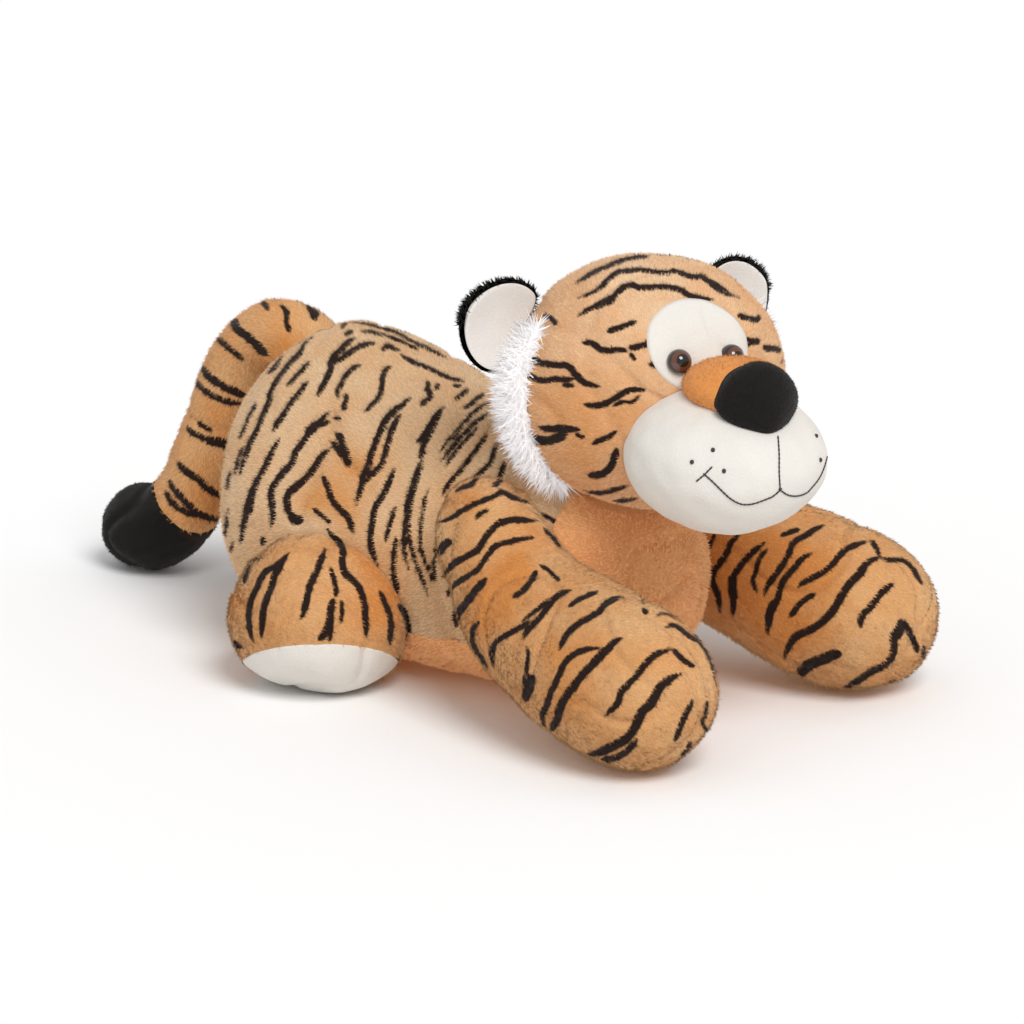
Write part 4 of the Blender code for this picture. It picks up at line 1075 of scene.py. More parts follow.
def smooth_rim(points, rim):
    """Points of a panel with its stepped rim drawn into a smooth line."""
    ahead = dict(rim)
    behind = {end: start for start, end in rim}
    ring = np.array([number for number in ahead if number in behind])
    after = np.array([ahead[number] for number in ring])
    before = np.array([behind[number] for number in ring])
    result = points.copy()
    for _ in range(RIM_PASSES):
        result[ring] = (result[after] + result[before] + result[ring] * 2) / 4
    return result


# Materials

COARSE_DETAIL = 2.0
MID_DETAIL = 3.0
FINE_DETAIL = 4.0


class Graph:
    """Small helper that adds nodes to a tree and links them."""

    def __init__(self, tree):
        self.tree = tree

    def add(self, kind, inputs=None, **settings):
        node = self.tree.nodes.new(kind)
        for key, value in settings.items():
            setattr(node, key, value)
        for key, value in (inputs or {}).items():
            socket = node.inputs[key]
            if isinstance(key, str):
                socket = next(item for item in node.inputs if item.name == key and item.enabled)
            if isinstance(value, bpy.types.NodeSocket):
                self.tree.links.new(value, socket)
            else:
                socket.default_value = value
        return node

    def math(self, operation, first, second=0.0, clamp=False):
        inputs = {0: first, 1: second}
        return self.add("ShaderNodeMath", inputs, operation=operation, use_clamp=clamp).outputs[0]

    def vector(self, operation, first, second=(0, 0, 0)):
        return self.add("ShaderNodeVectorMath", {0: first, 1: second}, operation=operation).outputs[0]

    def scaled(self, vector, share):
        return self.add("ShaderNodeVectorMath", {0: vector, "Scale": share}, operation="SCALE").outputs[0]

    def mix(self, share, first, second):
        return self.add("ShaderNodeMix", {0: share, 6: first, 7: second}, data_type="RGBA").outputs[2]

    def noise(self, scale, detail=MID_DETAIL):
        """Noise from about -0.5 to 0.5."""
        place = self.add("ShaderNodeTexCoord").outputs["Object"]
        node = self.add("ShaderNodeTexNoise", {"Vector": place, "Scale": scale, "Detail": detail})
        return self.math("SUBTRACT", node.outputs[0], 0.5)

    def speckle(self, scale, amount, detail=MID_DETAIL):
        return self.math("MULTIPLY", self.noise(scale, detail), amount)

    def named(self, name, kind):
        """Attribute of a geometry, in a geometry tree."""
        node = self.add("GeometryNodeInputNamedAttribute", {"Name": name}, data_type=kind)
        return next(item for item in node.outputs if item.enabled and item.name == "Attribute")

    def mark(self, name, output="Fac"):
        return self.add("ShaderNodeAttribute", attribute_name=name).outputs[output]


FULL_LEVEL = 255
GAMMA = 2.2


def linear(red, green, blue):
    """Colour as a picture has it, 0 to 255, in the shader's own scale."""
    return tuple((value / FULL_LEVEL) ** GAMMA for value in (red, green, blue)) + (1.0,)


def new_tree(name, kind, inputs, outputs):
    """Helper for a new tree with named inputs and outputs, and the sockets of its inputs."""
    tree = bpy.data.node_groups.new(name, kind)
    for way, sockets in (("INPUT", inputs), ("OUTPUT", outputs)):
        for key, socket in sockets.items():
            tree.interface.new_socket(key, in_out=way, socket_type="NodeSocket" + socket)
    graph = Graph(tree)
    return graph, graph.add("NodeGroupInput").outputs


STRIPE_EDGE_SCALE = 170
STRIPE_HAIR_SCALE = 800
STRIPE_EDGE_REACH = 3.2
STRIPE_HAIR_REACH = 1.6
STRIPE_SOFTNESS = 1.6
HALO_REACH = 1.5
HALO_SHARE = 0.18
CLOUD_SCALE = 26
CLOUD_SHARE = 0.9
MOTTLE_SCALE = 260
MOTTLE_SHARE = 0.22
ROOT_SHADE = 0.92
BASE_SHADE = 0.98
TIP_LIGHT = 0.16
BLADE_NORMAL_SHARE = 0.85
WEAVE_SCALE = 1500
WEAVE_HEIGHT = 0.0006


def pile_look():
    """Colour and normal of printed pile: orange and light patches that are partly painted shade and light,
    ragged stripes, painted shade towards the blade roots and lighter tips.

    Glow is painted light: the blades emit a share of their colour in place of the light that comes through
    thin hairs.
    """
    graph, given = new_tree(
        "pile_look", "ShaderNodeTree",
        {"Light": "Color", "Deep": "Color", "Dark": "Color", "Thinness": "Float"},
        {"Color": "Color", "Glow": "Color", "Normal": "Vector"})
    edge = graph.speckle(STRIPE_EDGE_SCALE, STRIPE_EDGE_REACH)
    hair = graph.speckle(STRIPE_HAIR_SCALE, STRIPE_HAIR_REACH, COARSE_DETAIL)
    depth = graph.math("ADD", graph.math("ADD", graph.mark("stripe"), edge), hair)
    inside = graph.math("DIVIDE", depth, STRIPE_SOFTNESS)
    stripe = graph.math("ADD", inside, 0.5, clamp=True)
    halo = graph.math("DIVIDE", graph.math("ADD", depth, HALO_REACH), HALO_REACH, clamp=True)
    # Orange patches: the fabric's own deeper orange, partly painted shade in creases and lower parts, with a
    # painted lighter top on the head.
    cloud = graph.speckle(CLOUD_SCALE, CLOUD_SHARE)
    orange_shade = graph.math("ADD", graph.mark("orange_shade"), cloud, clamp=True)
    ground = graph.mix(orange_shade, given["Light"], given["Deep"])
    brown = graph.mix(graph.math("MULTIPLY", halo, HALO_SHARE), ground, given["Dark"])
    coat = graph.mix(stripe, brown, given["Dark"])
    mottle = graph.speckle(MOTTLE_SCALE, MOTTLE_SHARE)
    # Painted shade at the blade roots, darker than the skin below, and painted light towards the tips.
    blade = graph.mark("blade")
    foot = graph.math("MULTIPLY", graph.math("SUBTRACT", 1.0, blade), BASE_SHADE - ROOT_SHADE)
    tip = graph.math("MULTIPLY", graph.mark("tip"), TIP_LIGHT)
    shade = graph.math("ADD", graph.math("ADD", foot, tip), graph.math("ADD", mottle, ROOT_SHADE))
    colour = graph.scaled(coat, shade)
    root = graph.add(
        "ShaderNodeVectorTransform", {0: graph.mark("root_normal", "Vector")}, vector_type="NORMAL",
        convert_from="OBJECT", convert_to="WORLD").outputs[0]
    face = graph.add("ShaderNodeNewGeometry").outputs["Normal"]
    share = graph.math("MULTIPLY", blade, BLADE_NORMAL_SHARE)
    rest = graph.math("SUBTRACT", 1.0, share)
    soft = graph.vector("ADD", graph.scaled(root, share), graph.scaled(face, rest))
    weave = graph.add(
        "ShaderNodeBump", {"Height": graph.noise(WEAVE_SCALE), "Distance": WEAVE_HEIGHT,
                           "Normal": graph.vector("NORMALIZE", soft)}).outputs[0]
    # Painted light: the blades glow with a share of their coat colour.
    glow = graph.scaled(coat, graph.math("MULTIPLY", blade, given["Thinness"]))
    graph.add("NodeGroupOutput", {"Color": colour, "Glow": glow, "Normal": weave})
    return graph.tree


VELVET_CLOUD_SCALE = 30
VELVET_CLOUD_SHARE = 0.10
VELVET_MOTTLE_SCALE = 600
VELVET_MOTTLE_SHARE = 0.12
VELVET_HEIGHT = 0.0005


def velvet_look():
    """Colour and normal of short even velour."""
    graph, given = new_tree(
        "velvet_look", "ShaderNodeTree", {"Colour": "Color"}, {"Color": "Color", "Normal": "Vector"})
    cloud = graph.speckle(VELVET_CLOUD_SCALE, VELVET_CLOUD_SHARE)
    mottle = graph.speckle(VELVET_MOTTLE_SCALE, VELVET_MOTTLE_SHARE)
    shade = graph.math("ADD", graph.math("ADD", cloud, mottle), 1.0)
    height = graph.noise(VELVET_MOTTLE_SCALE, FINE_DETAIL)
    bump = graph.add("ShaderNodeBump", {"Height": height, "Distance": VELVET_HEIGHT}).outputs[0]
    graph.add("NodeGroupOutput", {"Color": graph.scaled(given["Colour"], shade), "Normal": bump})
    return graph.tree


def new_material(name, **values):
    """Principled material; values are its sockets with spaces as underscores."""
    material = bpy.data.materials.new(name)
    material.use_nodes = True
    shader = material.node_tree.nodes["Principled BSDF"]
    for key, value in values.items():
        shader.inputs[key.replace("_", " ")].default_value = value
    return material, Graph(material.node_tree), shader


def looked(material, graph, shader, look, **colours):
    """Feed a shared look into a material."""
    node = graph.add("ShaderNodeGroup", node_tree=look)
    for key, value in colours.items():
        node.inputs[key].default_value = value
    graph.tree.links.new(node.outputs["Color"], shader.inputs["Base Color"])
    graph.tree.links.new(node.outputs["Normal"], shader.inputs["Normal"])
    # The glow is painted light: it feeds the emission, so the blades shine without a lamp.
    if "Glow" in node.outputs:
        graph.tree.links.new(node.outputs["Glow"], shader.inputs["Emission Color"])
        shader.inputs["Emission Strength"].default_value = 1.0
        material.cycles.emission_sampling = "NONE"
    return material


PILE_LOOK = pile_look()
VELVET_LOOK = velvet_look()
STRIPE_COLOUR = linear(44, 32, 28)
# Share of their colour that pile blades emit as painted light; the ruff's long strands emit more.
HAIR_GLOW = 0.28
RUFF_GLOW = 0.45
PILE_FINISH = {"Roughness": 0.9, "Specular_IOR_Level": 0.15, "Sheen_Weight": 0.12, "Sheen_Roughness": 0.4}


def pile_material(name, light, deep, glow_amount=HAIR_GLOW):
    parts = new_material(name, **PILE_FINISH)
    return looked(*parts, PILE_LOOK, Light=light, Deep=deep, Dark=STRIPE_COLOUR, Thinness=glow_amount)


def velvet_material(name, colour):
    parts = new_material(name, **PILE_FINISH)
    return looked(*parts, VELVET_LOOK, Colour=colour)


TORSO_PILE = pile_material("torso_pile", linear(211, 181, 145), linear(203, 144, 90))
HEAD_PILE = pile_material("head_pile", linear(228, 194, 157), linear(213, 147, 90))
LIMB_PILE = pile_material("limb_pile", linear(218, 182, 136), linear(203, 134, 74))
BELLY_PILE = pile_material("belly_pile", linear(244, 182, 126), linear(232, 154, 98))
BRIDGE_PILE = pile_material("bridge_pile", linear(226, 150, 84), linear(216, 134, 66))
BLACK_PILE = pile_material("black_pile", linear(34, 32, 30), linear(26, 25, 24))
LONG_PILE = pile_material("long_pile", linear(244, 240, 240), linear(232, 227, 226), RUFF_GLOW)
PALE_PILE = velvet_material("pale_pile", linear(224, 219, 211))
LINING_PILE = velvet_material("lining_pile", linear(222, 217, 211))
THREAD_FINISH = {"Base_Color": linear(48, 42, 42), "Roughness": 0.6, "Sheen_Weight": 0.2}
EYE_FINISH = {"Roughness": 0.12, "Coat_Weight": 0.6, "Coat_Roughness": 0.04}
PUPIL_COLOUR = linear(10, 8, 8)
IRIS_COLOUR = linear(96, 58, 44)
EYE_RIM_COLOUR = linear(44, 30, 26)
PUPIL_EDGE = 0.0052
IRIS_EDGE = 0.0086
RIM_SOFTNESS = 0.0005


def eye_material():
    """Glossy brown eye with a black pupil and a dark rim; the axis distance is stored in the mesh."""
    material, graph, shader = new_material("eye_plastic", **EYE_FINISH)
    reach = graph.mark("iris")
    streak = graph.speckle(VELVET_MOTTLE_SCALE, RIM_SOFTNESS)
    pupil = graph.math("DIVIDE", graph.math("SUBTRACT", reach, PUPIL_EDGE), RIM_SOFTNESS, clamp=True)
    past_iris = graph.math("SUBTRACT", graph.math("ADD", reach, streak), IRIS_EDGE)
    rim = graph.math("DIVIDE", past_iris, RIM_SOFTNESS, clamp=True)
    iris = graph.mix(pupil, PUPIL_COLOUR, IRIS_COLOUR)
    graph.tree.links.new(graph.mix(rim, iris, EYE_RIM_COLOUR), shader.inputs["Base Color"])
    return material


THREAD = new_material("thread", **THREAD_FINISH)[0]
EYE_PLASTIC = eye_material()


# Pile: one-triangle blades grown over a form

GEOMETRY = {"Geometry": "Geometry"}


def finish_tree(graph, placed, material):
    """End a tree: what was placed becomes real geometry with its material."""
    real = graph.add("GeometryNodeRealizeInstances", {0: placed}).outputs[0]
    done = graph.add("GeometryNodeSetMaterial", {"Geometry": real, "Material": material}).outputs[0]
    graph.add("NodeGroupOutput", {0: done})
    return graph.tree


BLADE_SPREAD = math.sqrt(3) / 2
BLADE_RISE = 1.5
BLADE_FOOT = 0.5
SCALE_RANGE = (0.65, 1.15)
BLADE_TWIST = math.radians(35)


def blade_geometry(graph, length, width):
    """One triangle with its foot at the origin, its tip up and the share of the way to the tip.

    It has three corners of a circle of radius 1. Its foot starts out BLADE_FOOT below the middle,
    and it stands BLADE_RISE high.
    """
    flat = graph.add("GeometryNodeMeshCircle", {"Vertices": 3, "Radius": 1.0}, fill_type="NGON").outputs[0]
    upright = graph.add("GeometryNodeTransform", {0: flat, "Rotation": (0, -math.pi / 2, 0)}).outputs[0]
    raised = graph.add("GeometryNodeTransform", {0: upright, "Translation": (0, 0, BLADE_FOOT)}).outputs[0]
    place = graph.add("GeometryNodeInputPosition").outputs[0]
    height = graph.add("ShaderNodeSeparateXYZ", {0: place}).outputs[2]
    marked = stored(graph, raised, "tip", graph.math("DIVIDE", height, BLADE_RISE))
    across = graph.math("DIVIDE", width, 2 * BLADE_SPREAD)
    up = graph.math("DIVIDE", length, BLADE_RISE)
    size = graph.add("ShaderNodeCombineXYZ", {0: 1.0, 1: across, 2: up}).outputs[0]
    return graph.add("GeometryNodeTransform", {0: marked, "Scale": size}).outputs[0]


def stored(graph, geometry, name, value, kind="FLOAT"):
    """Geometry with a named value stored at its points."""
    return graph.add(
        "GeometryNodeStoreNamedAttribute", {"Geometry": geometry, "Name": name, "Value": value},
        data_type=kind, domain="POINT").outputs[0]


def pile_tree():
    """Blades scattered over a surface, leaning the way its pile lies."""
    sizes = dict.fromkeys(("Density", "Length", "Width", "Lean", "Scatter"), "Float")
    graph, given = new_tree(
        "pile_blades", "GeometryNodeTree", {**GEOMETRY, **sizes, "Seed": "Int", "Material": "Material"},
        GEOMETRY)
    density = graph.math("MULTIPLY", given["Density"], graph.named("growth", "FLOAT"))
    flow = graph.named("flow", "FLOAT_VECTOR")
    spread = graph.add("GeometryNodeDistributePointsOnFaces", {
        "Mesh": given["Geometry"], "Density": density, "Seed": given["Seed"]})
    normal = spread.outputs["Normal"]
    points = stored(graph, spread.outputs["Points"], "root_normal", normal, "FLOAT_VECTOR")
    points = stored(graph, points, "blade", 1.0)
    any_way = graph.add(
        "FunctionNodeRandomValue", {"Min": (-1, -1, -1), "Max": (1, 1, 1), "Seed": given["Seed"]},
        data_type="FLOAT_VECTOR").outputs[0]
    rise = graph.add("ShaderNodeVectorMath", {0: flow, 1: normal}, operation="DOT_PRODUCT").outputs[1]
    level = graph.vector("SUBTRACT", flow, graph.scaled(normal, rise))
    lean = graph.vector("ADD", graph.scaled(level, given["Lean"]), graph.scaled(any_way, given["Scatter"]))
    way = graph.vector("ADD", normal, lean)
    raised = graph.add("FunctionNodeAlignRotationToVector", {"Vector": way}, axis="Z").outputs[0]
    aimed = graph.add(
        "FunctionNodeAlignRotationToVector", {"Rotation": raised, "Vector": normal},
        axis="X", pivot_axis="Z").outputs[0]
    spin = graph.add(
        "FunctionNodeRandomValue", {2: -BLADE_TWIST, 3: BLADE_TWIST}, data_type="FLOAT").outputs[1]
    twist = graph.add("FunctionNodeAxisAngleToRotation", {"Axis": (0, 0, 1), "Angle": spin}).outputs[0]
    turn = graph.add("FunctionNodeRotateRotation", {0: aimed, 1: twist}, rotation_space="LOCAL").outputs[0]
    low, high = SCALE_RANGE
    size = graph.add("FunctionNodeRandomValue", {2: low, 3: high}, data_type="FLOAT").outputs[1]
    placed = graph.add("GeometryNodeInstanceOnPoints", {
        "Points": points, "Instance": blade_geometry(graph, given["Length"], given["Width"]),
        "Rotation": turn, "Scale": size}).outputs[0]
    return finish_tree(graph, placed, given["Material"])


PILE_TREE = pile_tree()


def run_tree(item, tree, **values):
    """Run a node tree on an object and keep the result as its plain mesh."""
    step = item.modifiers.new("nodes", "NODES")
    step.node_group = tree
    for socket in tree.interface.items_tree:
        if socket.in_out == "INPUT" and socket.name in values:
            step[socket.identifier] = values[socket.name]
    return settle(item)


SHORT_PILE = {"Density": 260000.0, "Length": 0.0038, "Width": 0.0011, "Lean": 1.6, "Scatter": 0.8}
HEAD_COAT = {"Density": 300000.0, "Length": 0.0030, "Width": 0.0010, "Lean": 1.6, "Scatter": 0.8}
NOSE_COAT = {"Density": 500000.0, "Length": 0.0014, "Width": 0.0006, "Lean": 1.5, "Scatter": 0.8}
FINE_PILE = {"Density": 300000.0, "Length": 0.0022, "Width": 0.0008, "Lean": 1.5, "Scatter": 0.8}
TUFTED_PILE = {"Density": 700000.0, "Length": 0.0050, "Width": 0.0012, "Lean": 0.8, "Scatter": 0.8}
STRAND_PILE = {"Density": 460000.0, "Length": 0.0160, "Width": 0.0014, "Lean": 1.3, "Scatter": 0.7}
FLOOR_CLEARANCE = 0.0002


def grow_pile(item, name, material, sizes):
    """Object with the pile of a form; its seed comes from the number of objects made so far."""
    pile = copied(item)
    pile.name = name
    run_tree(pile, PILE_TREE, Seed=SEED + len(bpy.data.objects), Material=material, **sizes)
    points = read_points(pile)
    points[:, 2] = np.maximum(points[:, 2], FLOOR_CLEARANCE)
    write_points(pile, points)
    pile.data.name = name
    pile.visible_shadow = False
    return pile


# Stitches

STITCH_SEGMENTS = 8


def stitch_tree():
    """A small rounded thread at every point, along the way stored there."""
    graph, given = new_tree(
        "stitches", "GeometryNodeTree",
        {**GEOMETRY, "Length": "Float", "Radius": "Float", "Material": "Material"}, GEOMETRY)
    ball = graph.add("GeometryNodeMeshUVSphere", {
        "Segments": STITCH_SEGMENTS, "Rings": STITCH_SEGMENTS, "Radius": 1.0}).outputs[0]
    half = graph.math("DIVIDE", given["Length"], 2.0)
    size = graph.add("ShaderNodeCombineXYZ", {0: given["Radius"], 1: given["Radius"], 2: half}).outputs[0]
    thread = graph.add("GeometryNodeTransform", {0: ball, "Scale": size}).outputs[0]
    smooth = graph.add("GeometryNodeSetShadeSmooth", {0: thread}).outputs[0]
    way = graph.named("way", "FLOAT_VECTOR")
    turn = graph.add("FunctionNodeAlignRotationToVector", {"Vector": way}, axis="Z").outputs[0]
    points = graph.add("GeometryNodeMeshToPoints", {"Mesh": given["Geometry"]}).outputs[0]
    placed = graph.add("GeometryNodeInstanceOnPoints", {
        "Points": points, "Instance": smooth, "Rotation": turn}).outputs[0]
    return finish_tree(graph, placed, given["Material"])


STITCH_TREE = stitch_tree()
STITCH_LENGTH = 0.0046
STITCH_STEP = 0.0036
STITCH_RADIUS = 0.0008
KNOT_RADIUS = 0.0018
KNOT_LENGTH = 0.0040
THREAD_LIFT = 0.0003


def stitched(tree, lines, length, radius, name):
    """Thread along traced lines on a form, one stitch after the other."""
    places = []
    ways = []
    for line in lines:
        chain = cast_line(tree, line, THREAD_LIFT)
        carried = 0.0
        for start, end in zip(chain, chain[1:]):
            step = (end - start).length
            while carried <= step and step > 0:
                places.append(start.lerp(end, carried / step))
                ways.append((end - start).normalized())
                carried += STITCH_STEP
            carried -= step
    work = bmesh.new()
    for place in places:
        work.verts.new(place)
    item = object_from(work, name)
    write_mark(item, "way", np.array([tuple(way) for way in ways]))
    run_tree(item, STITCH_TREE, Length=length, Radius=radius, Material=THREAD)
    item.data.name = name
    return item


# Ears, nose, bridge and ruffs

EAR_ROOT = (0.091, -0.062, 0.034)
EAR_RISE = math.radians(26)
EAR_HALF_WIDTH = 0.040
EAR_LENGTH = 0.062
EAR_RING_SHARES = (
    (0.02, 0.88), (0.16, 1.00), (0.36, 1.04), (0.56, 0.97), (0.76, 0.78), (0.90, 0.51), (0.97, 0.27))
EAR_THICKNESS = 0.008
EAR_CUP = 0.012
EAR_CUP_SLOPE = 0.6
EAR_SEGMENTS = 20
LINING_INSET = 0.003
LINING_AHEAD = 0.0045
EAR_RIM_SHARE = 0.80
EAR_RIM_FRONT = EAR_THICKNESS / 8
MUZZLE_PLACE = Vector((0, 0.116, -0.030))
MUZZLE_SIZE = (0.086, 0.086, 0.062)
NOSE_WIDTH = 0.080
NOSE_HEIGHT = 0.064
NOSE_DEPTH = 0.046
NOSE_LEAN = math.radians(28)
NOSE_DROOP = 0.015
NOSE_SWEEP = 0.006
NOSE_PLACE = Vector((0, 0.163, 0.031))
NOSE_RING_SHARES = (
    (0.03, 0.16, 0.40), (0.12, 0.40, 0.74), (0.30, 0.68, 0.94), (0.50, 0.88, 1.00), (0.70, 1.00, 1.00),
    (0.86, 0.90, 0.84), (0.96, 0.60, 0.46))
BRIDGE_PLACE = Vector((0, 0.129, 0.032))
BRIDGE_SIZE = (0.046, 0.048, 0.0235)
RUFF_WIDTH = 0.030
RUFF_THICKNESS = 0.012
RUFF_BACK_ANGLE = math.radians(14)
RUFF_STEPS = 8
RUFF_TOP = math.radians(26)
RUFF_BOTTOM = math.radians(-50)
RUFF_END_POWER = 0.5
RUFF_CAP_PARTS = 2
RUFF_FLOW = (0.6, -0.5, -0.6)


def ear_frame(side):
    """Matrix from an ear's axes (along its root, out, ahead) to the toy's."""
    root = Vector((-side * EAR_ROOT[0], EAR_ROOT[1], EAR_ROOT[2]))
    out = Vector((-side * math.cos(EAR_RISE), 0, math.sin(EAR_RISE)))
    ahead = Vector((0, 1, 0))
    along_root = out.cross(ahead)
    return HEAD @ Matrix.Translation(root) @ Matrix((along_root, out, ahead)).transposed().to_4x4()


def make_ear(side, inset, forward, name):
    """Dished blade of an ear; the lining is a smaller one that lies in front."""
    rings = []
    for out, half in EAR_RING_SHARES:
        centre = Vector((0, inset + out * (EAR_LENGTH - 2 * inset), forward))
        thick = Vector((0, 0, EAR_THICKNESS / 2))
        rings.append((centre, Vector((EAR_HALF_WIDTH * half - inset, 0, 0)), thick, thick))
    form = cage(Vector((0, inset, forward)), rings, Vector((0, EAR_LENGTH - inset, forward)), EAR_SEGMENTS)
    for vertex in form.verts:
        across = vertex.co.x / EAR_HALF_WIDTH
        up = (vertex.co.y - EAR_LENGTH / 2) / (EAR_LENGTH / 2)
        vertex.co.z -= EAR_CUP * max(1 - across * across - up * up * EAR_CUP_SLOPE, 0)
    bmesh.ops.transform(form, matrix=ear_frame(side), verts=form.verts)
    bmesh.ops.recalc_face_normals(form, faces=form.faces)
    return smooth_form(form, name, FINE - 1)


def make_nose():
    """Rounded triangle that stands on the muzzle and leans back."""
    rings = []
    for rise, half, deep in NOSE_RING_SHARES:
        centre = Vector((0, 0, (rise - 0.5) * NOSE_HEIGHT))
        depth = Vector((0, deep * NOSE_DEPTH / 2, 0))
        rings.append((centre, Vector((half * NOSE_WIDTH / 2, 0, 0)), depth, depth))
    foot = Vector((0, 0, -NOSE_HEIGHT / 2))
    form = cage(foot, rings, -foot, LIMB_SEGMENTS)
    for vert in form.verts:
        share = (vert.co.x * 2 / NOSE_WIDTH) ** 2
        vert.co -= Vector((0, NOSE_SWEEP, NOSE_DROOP)) * share
    place = Matrix.Translation(NOSE_PLACE) @ Matrix.Rotation(NOSE_LEAN, 4, "X")
    bmesh.ops.transform(form, matrix=place, verts=form.verts)
    return in_head(smooth_form(form, "nose", FINE))


def make_ruff(side):
    """Strip of long pile from an ear down to the jaw."""
    half, _, _, up, down = HEAD_SIZE
    back = Vector((-side * math.cos(RUFF_BACK_ANGLE), -math.sin(RUFF_BACK_ANGLE), 0))
    level = Vector((side * math.sin(RUFF_BACK_ANGLE), -math.cos(RUFF_BACK_ANGLE), 0))
    rings = []
    for step in range(RUFF_STEPS + 1):
        angle = RUFF_TOP + (RUFF_BOTTOM - RUFF_TOP) * step / RUFF_STEPS
        grow = math.sin(math.pi * (step + 1) / (RUFF_STEPS + 2)) ** RUFF_END_POWER
        tall = up if angle > 0 else down
        surface = back * math.cos(angle) * half + Vector((0, 0, math.sin(angle) * tall))
        out = (back * math.cos(angle) + Vector((0, 0, math.sin(angle)))).normalized()
        thick = out * RUFF_THICKNESS * grow
        rings.append((surface, level * RUFF_WIDTH / 2 * grow, thick, thick))
    return in_head(smooth_form(capped_cage(rings, RUFF_CAP_PARTS), "ruff", FINE - 1))


# Eyes and mouth

EYE_DIAMETER = 0.021
EYE_SPACING = 0.050
EYE_HEIGHT = 0.045
FACE_SHIFT = 0.007
EYE_RAISE = 0.0025
EYE_SEGMENTS = 32
PATCH_HALF_WIDTH = 0.047
PATCH_HALF_HEIGHT = 0.035
PATCH_HEIGHT = 0.053
PATCH_LIFT = 0.0012
FACE_REACH = 0.3
MOUTH_LINES = (
    ((778, 438), (779, 455), (779, 472), (780, 490)),
    ((780, 490), (773, 496), (764, 500), (752, 504), (741, 504), (731, 499), (722, 491), (713, 482),
     (704, 474)),
    ((780, 490), (788, 495), (797, 496), (806, 493), (812, 487), (819, 478), (824, 467), (827, 456)),
    ((698, 480), (704, 475), (711, 468)),
)
WHISKER_DOTS = ((692, 462), (713, 450), (724, 471), (816, 436), (824, 437), (820, 460))


def face_point(tree, across, height):
    """Point and normal on the skull in front of a place on the face."""
    ahead = HEAD.to_3x3() @ Vector((0, 1, 0))
    place, normal, _, _ = tree.ray_cast(HEAD @ Vector((across, FACE_REACH, height)), -ahead)
    return place, normal


def make_eye(side, tree):
    """Domed safety eye that looks the way the face bulges there."""
    place, out = face_point(tree, FACE_SHIFT - side * EYE_SPACING / 2, EYE_HEIGHT)
    centre = place + out * EYE_RAISE
    work = bmesh.new()
    bmesh.ops.create_uvsphere(
        work, u_segments=EYE_SEGMENTS, v_segments=EYE_SEGMENTS // 2, radius=EYE_DIAMETER / 2)
    turn = out.to_track_quat("Z", "Y").to_matrix().to_4x4()
    bmesh.ops.transform(work, matrix=Matrix.Translation(centre) @ turn, verts=work.verts)
    item = object_from(work, "eye")
    item.data.shade_smooth()
    offsets = read_points(item) - np.array(centre)
    beside = offsets - (offsets @ np.array(out))[:, None] * np.array(out)
    write_mark(item, "iris", np.linalg.norm(beside, axis=1))
    return item


def make_patch(tree):
    """Pale oval panel over both eyes."""
    turn = HEAD.to_3x3()
    across = turn @ Vector((PATCH_HALF_WIDTH, 0, 0))
    up = turn @ Vector((0, 0, PATCH_HALF_HEIGHT))
    centre = HEAD @ Vector((FACE_SHIFT, 0, PATCH_HEIGHT))
    return oval_panel(tree, centre, across, up, turn @ Vector((0, -FACE_REACH, 0)), PATCH_LIFT, "eye_patch")


# Places on the body that are other pieces

BELLY_EDGE_HEIGHT = 0.050
BELLY_END = 0.250
CHEST_PANEL_HALF_WIDTH = 0.090
CHEST_PANEL_BACK = 0.048
BELLY_LIFT = 0.0005
TIP_POINT = (0, 0.420, 0.062)
TIP_NORMAL = (0, 0.62, -0.785)
TIP_LIFT = 0.0008
SOLE_CENTRE = (320, 663)
SOLE_REACH = (79, 20)
SOLE_UNDER = 0.012
SOLE_SLANT = math.radians(51)
SOLE_EDGE = (0.212, 0.034)
SOLE_TURN = 0.2
SOLE_FLATNESS = 0.9
FOOT_NARROWING = 0.24
FOOT_NARROW_HEIGHTS = (0.060, 0.134)
SOLE_LIFT = 0.0006
NECK_RADIUS = 0.043


def on_belly(points):
    under = (points[:, 2] < BELLY_EDGE_HEIGHT) & (points[:, 1] < BELLY_END)
    chest = (np.abs(points[:, 0]) < CHEST_PANEL_HALF_WIDTH) & (points[:, 1] < -CHEST_PANEL_BACK)
    return under | chest


def on_tip(points):
    return (points - np.array(TIP_POINT)) @ np.array(TIP_NORMAL) > 0


def on_sole(foot):
    """Vertices of a hind foot on its pale sole, which runs on under the foot."""
    points = read_points(foot)
    normals = read_normals(foot)
    if points[:, 0].mean() > 0:
        points = moved(points, BODY_MIRROR)
        normals = pointed(normals, BODY_MIRROR)
    away = (to_pixels(points) - np.array(SOLE_CENTRE)) / np.array(SOLE_REACH)
    away[:, 1] = np.minimum(away[:, 1], 0)
    shown = (normals @ np.array(VIEW) > 0) | (points[:, 2] < SOLE_UNDER)
    return (np.linalg.norm(away, axis=1) < 1) & shown


def make_neck():
    """Stuffed neck between the body and the head."""
    work = bmesh.new()
    bmesh.ops.create_uvsphere(
        work, u_segments=LIMB_SEGMENTS, v_segments=LIMB_SEGMENTS // 2, radius=NECK_RADIUS)
    bmesh.ops.transform(work, matrix=Matrix.Translation(NECK_POINT), verts=work.verts)
    return smooth_form(work, "neck", FINE - 2)


# Assembly

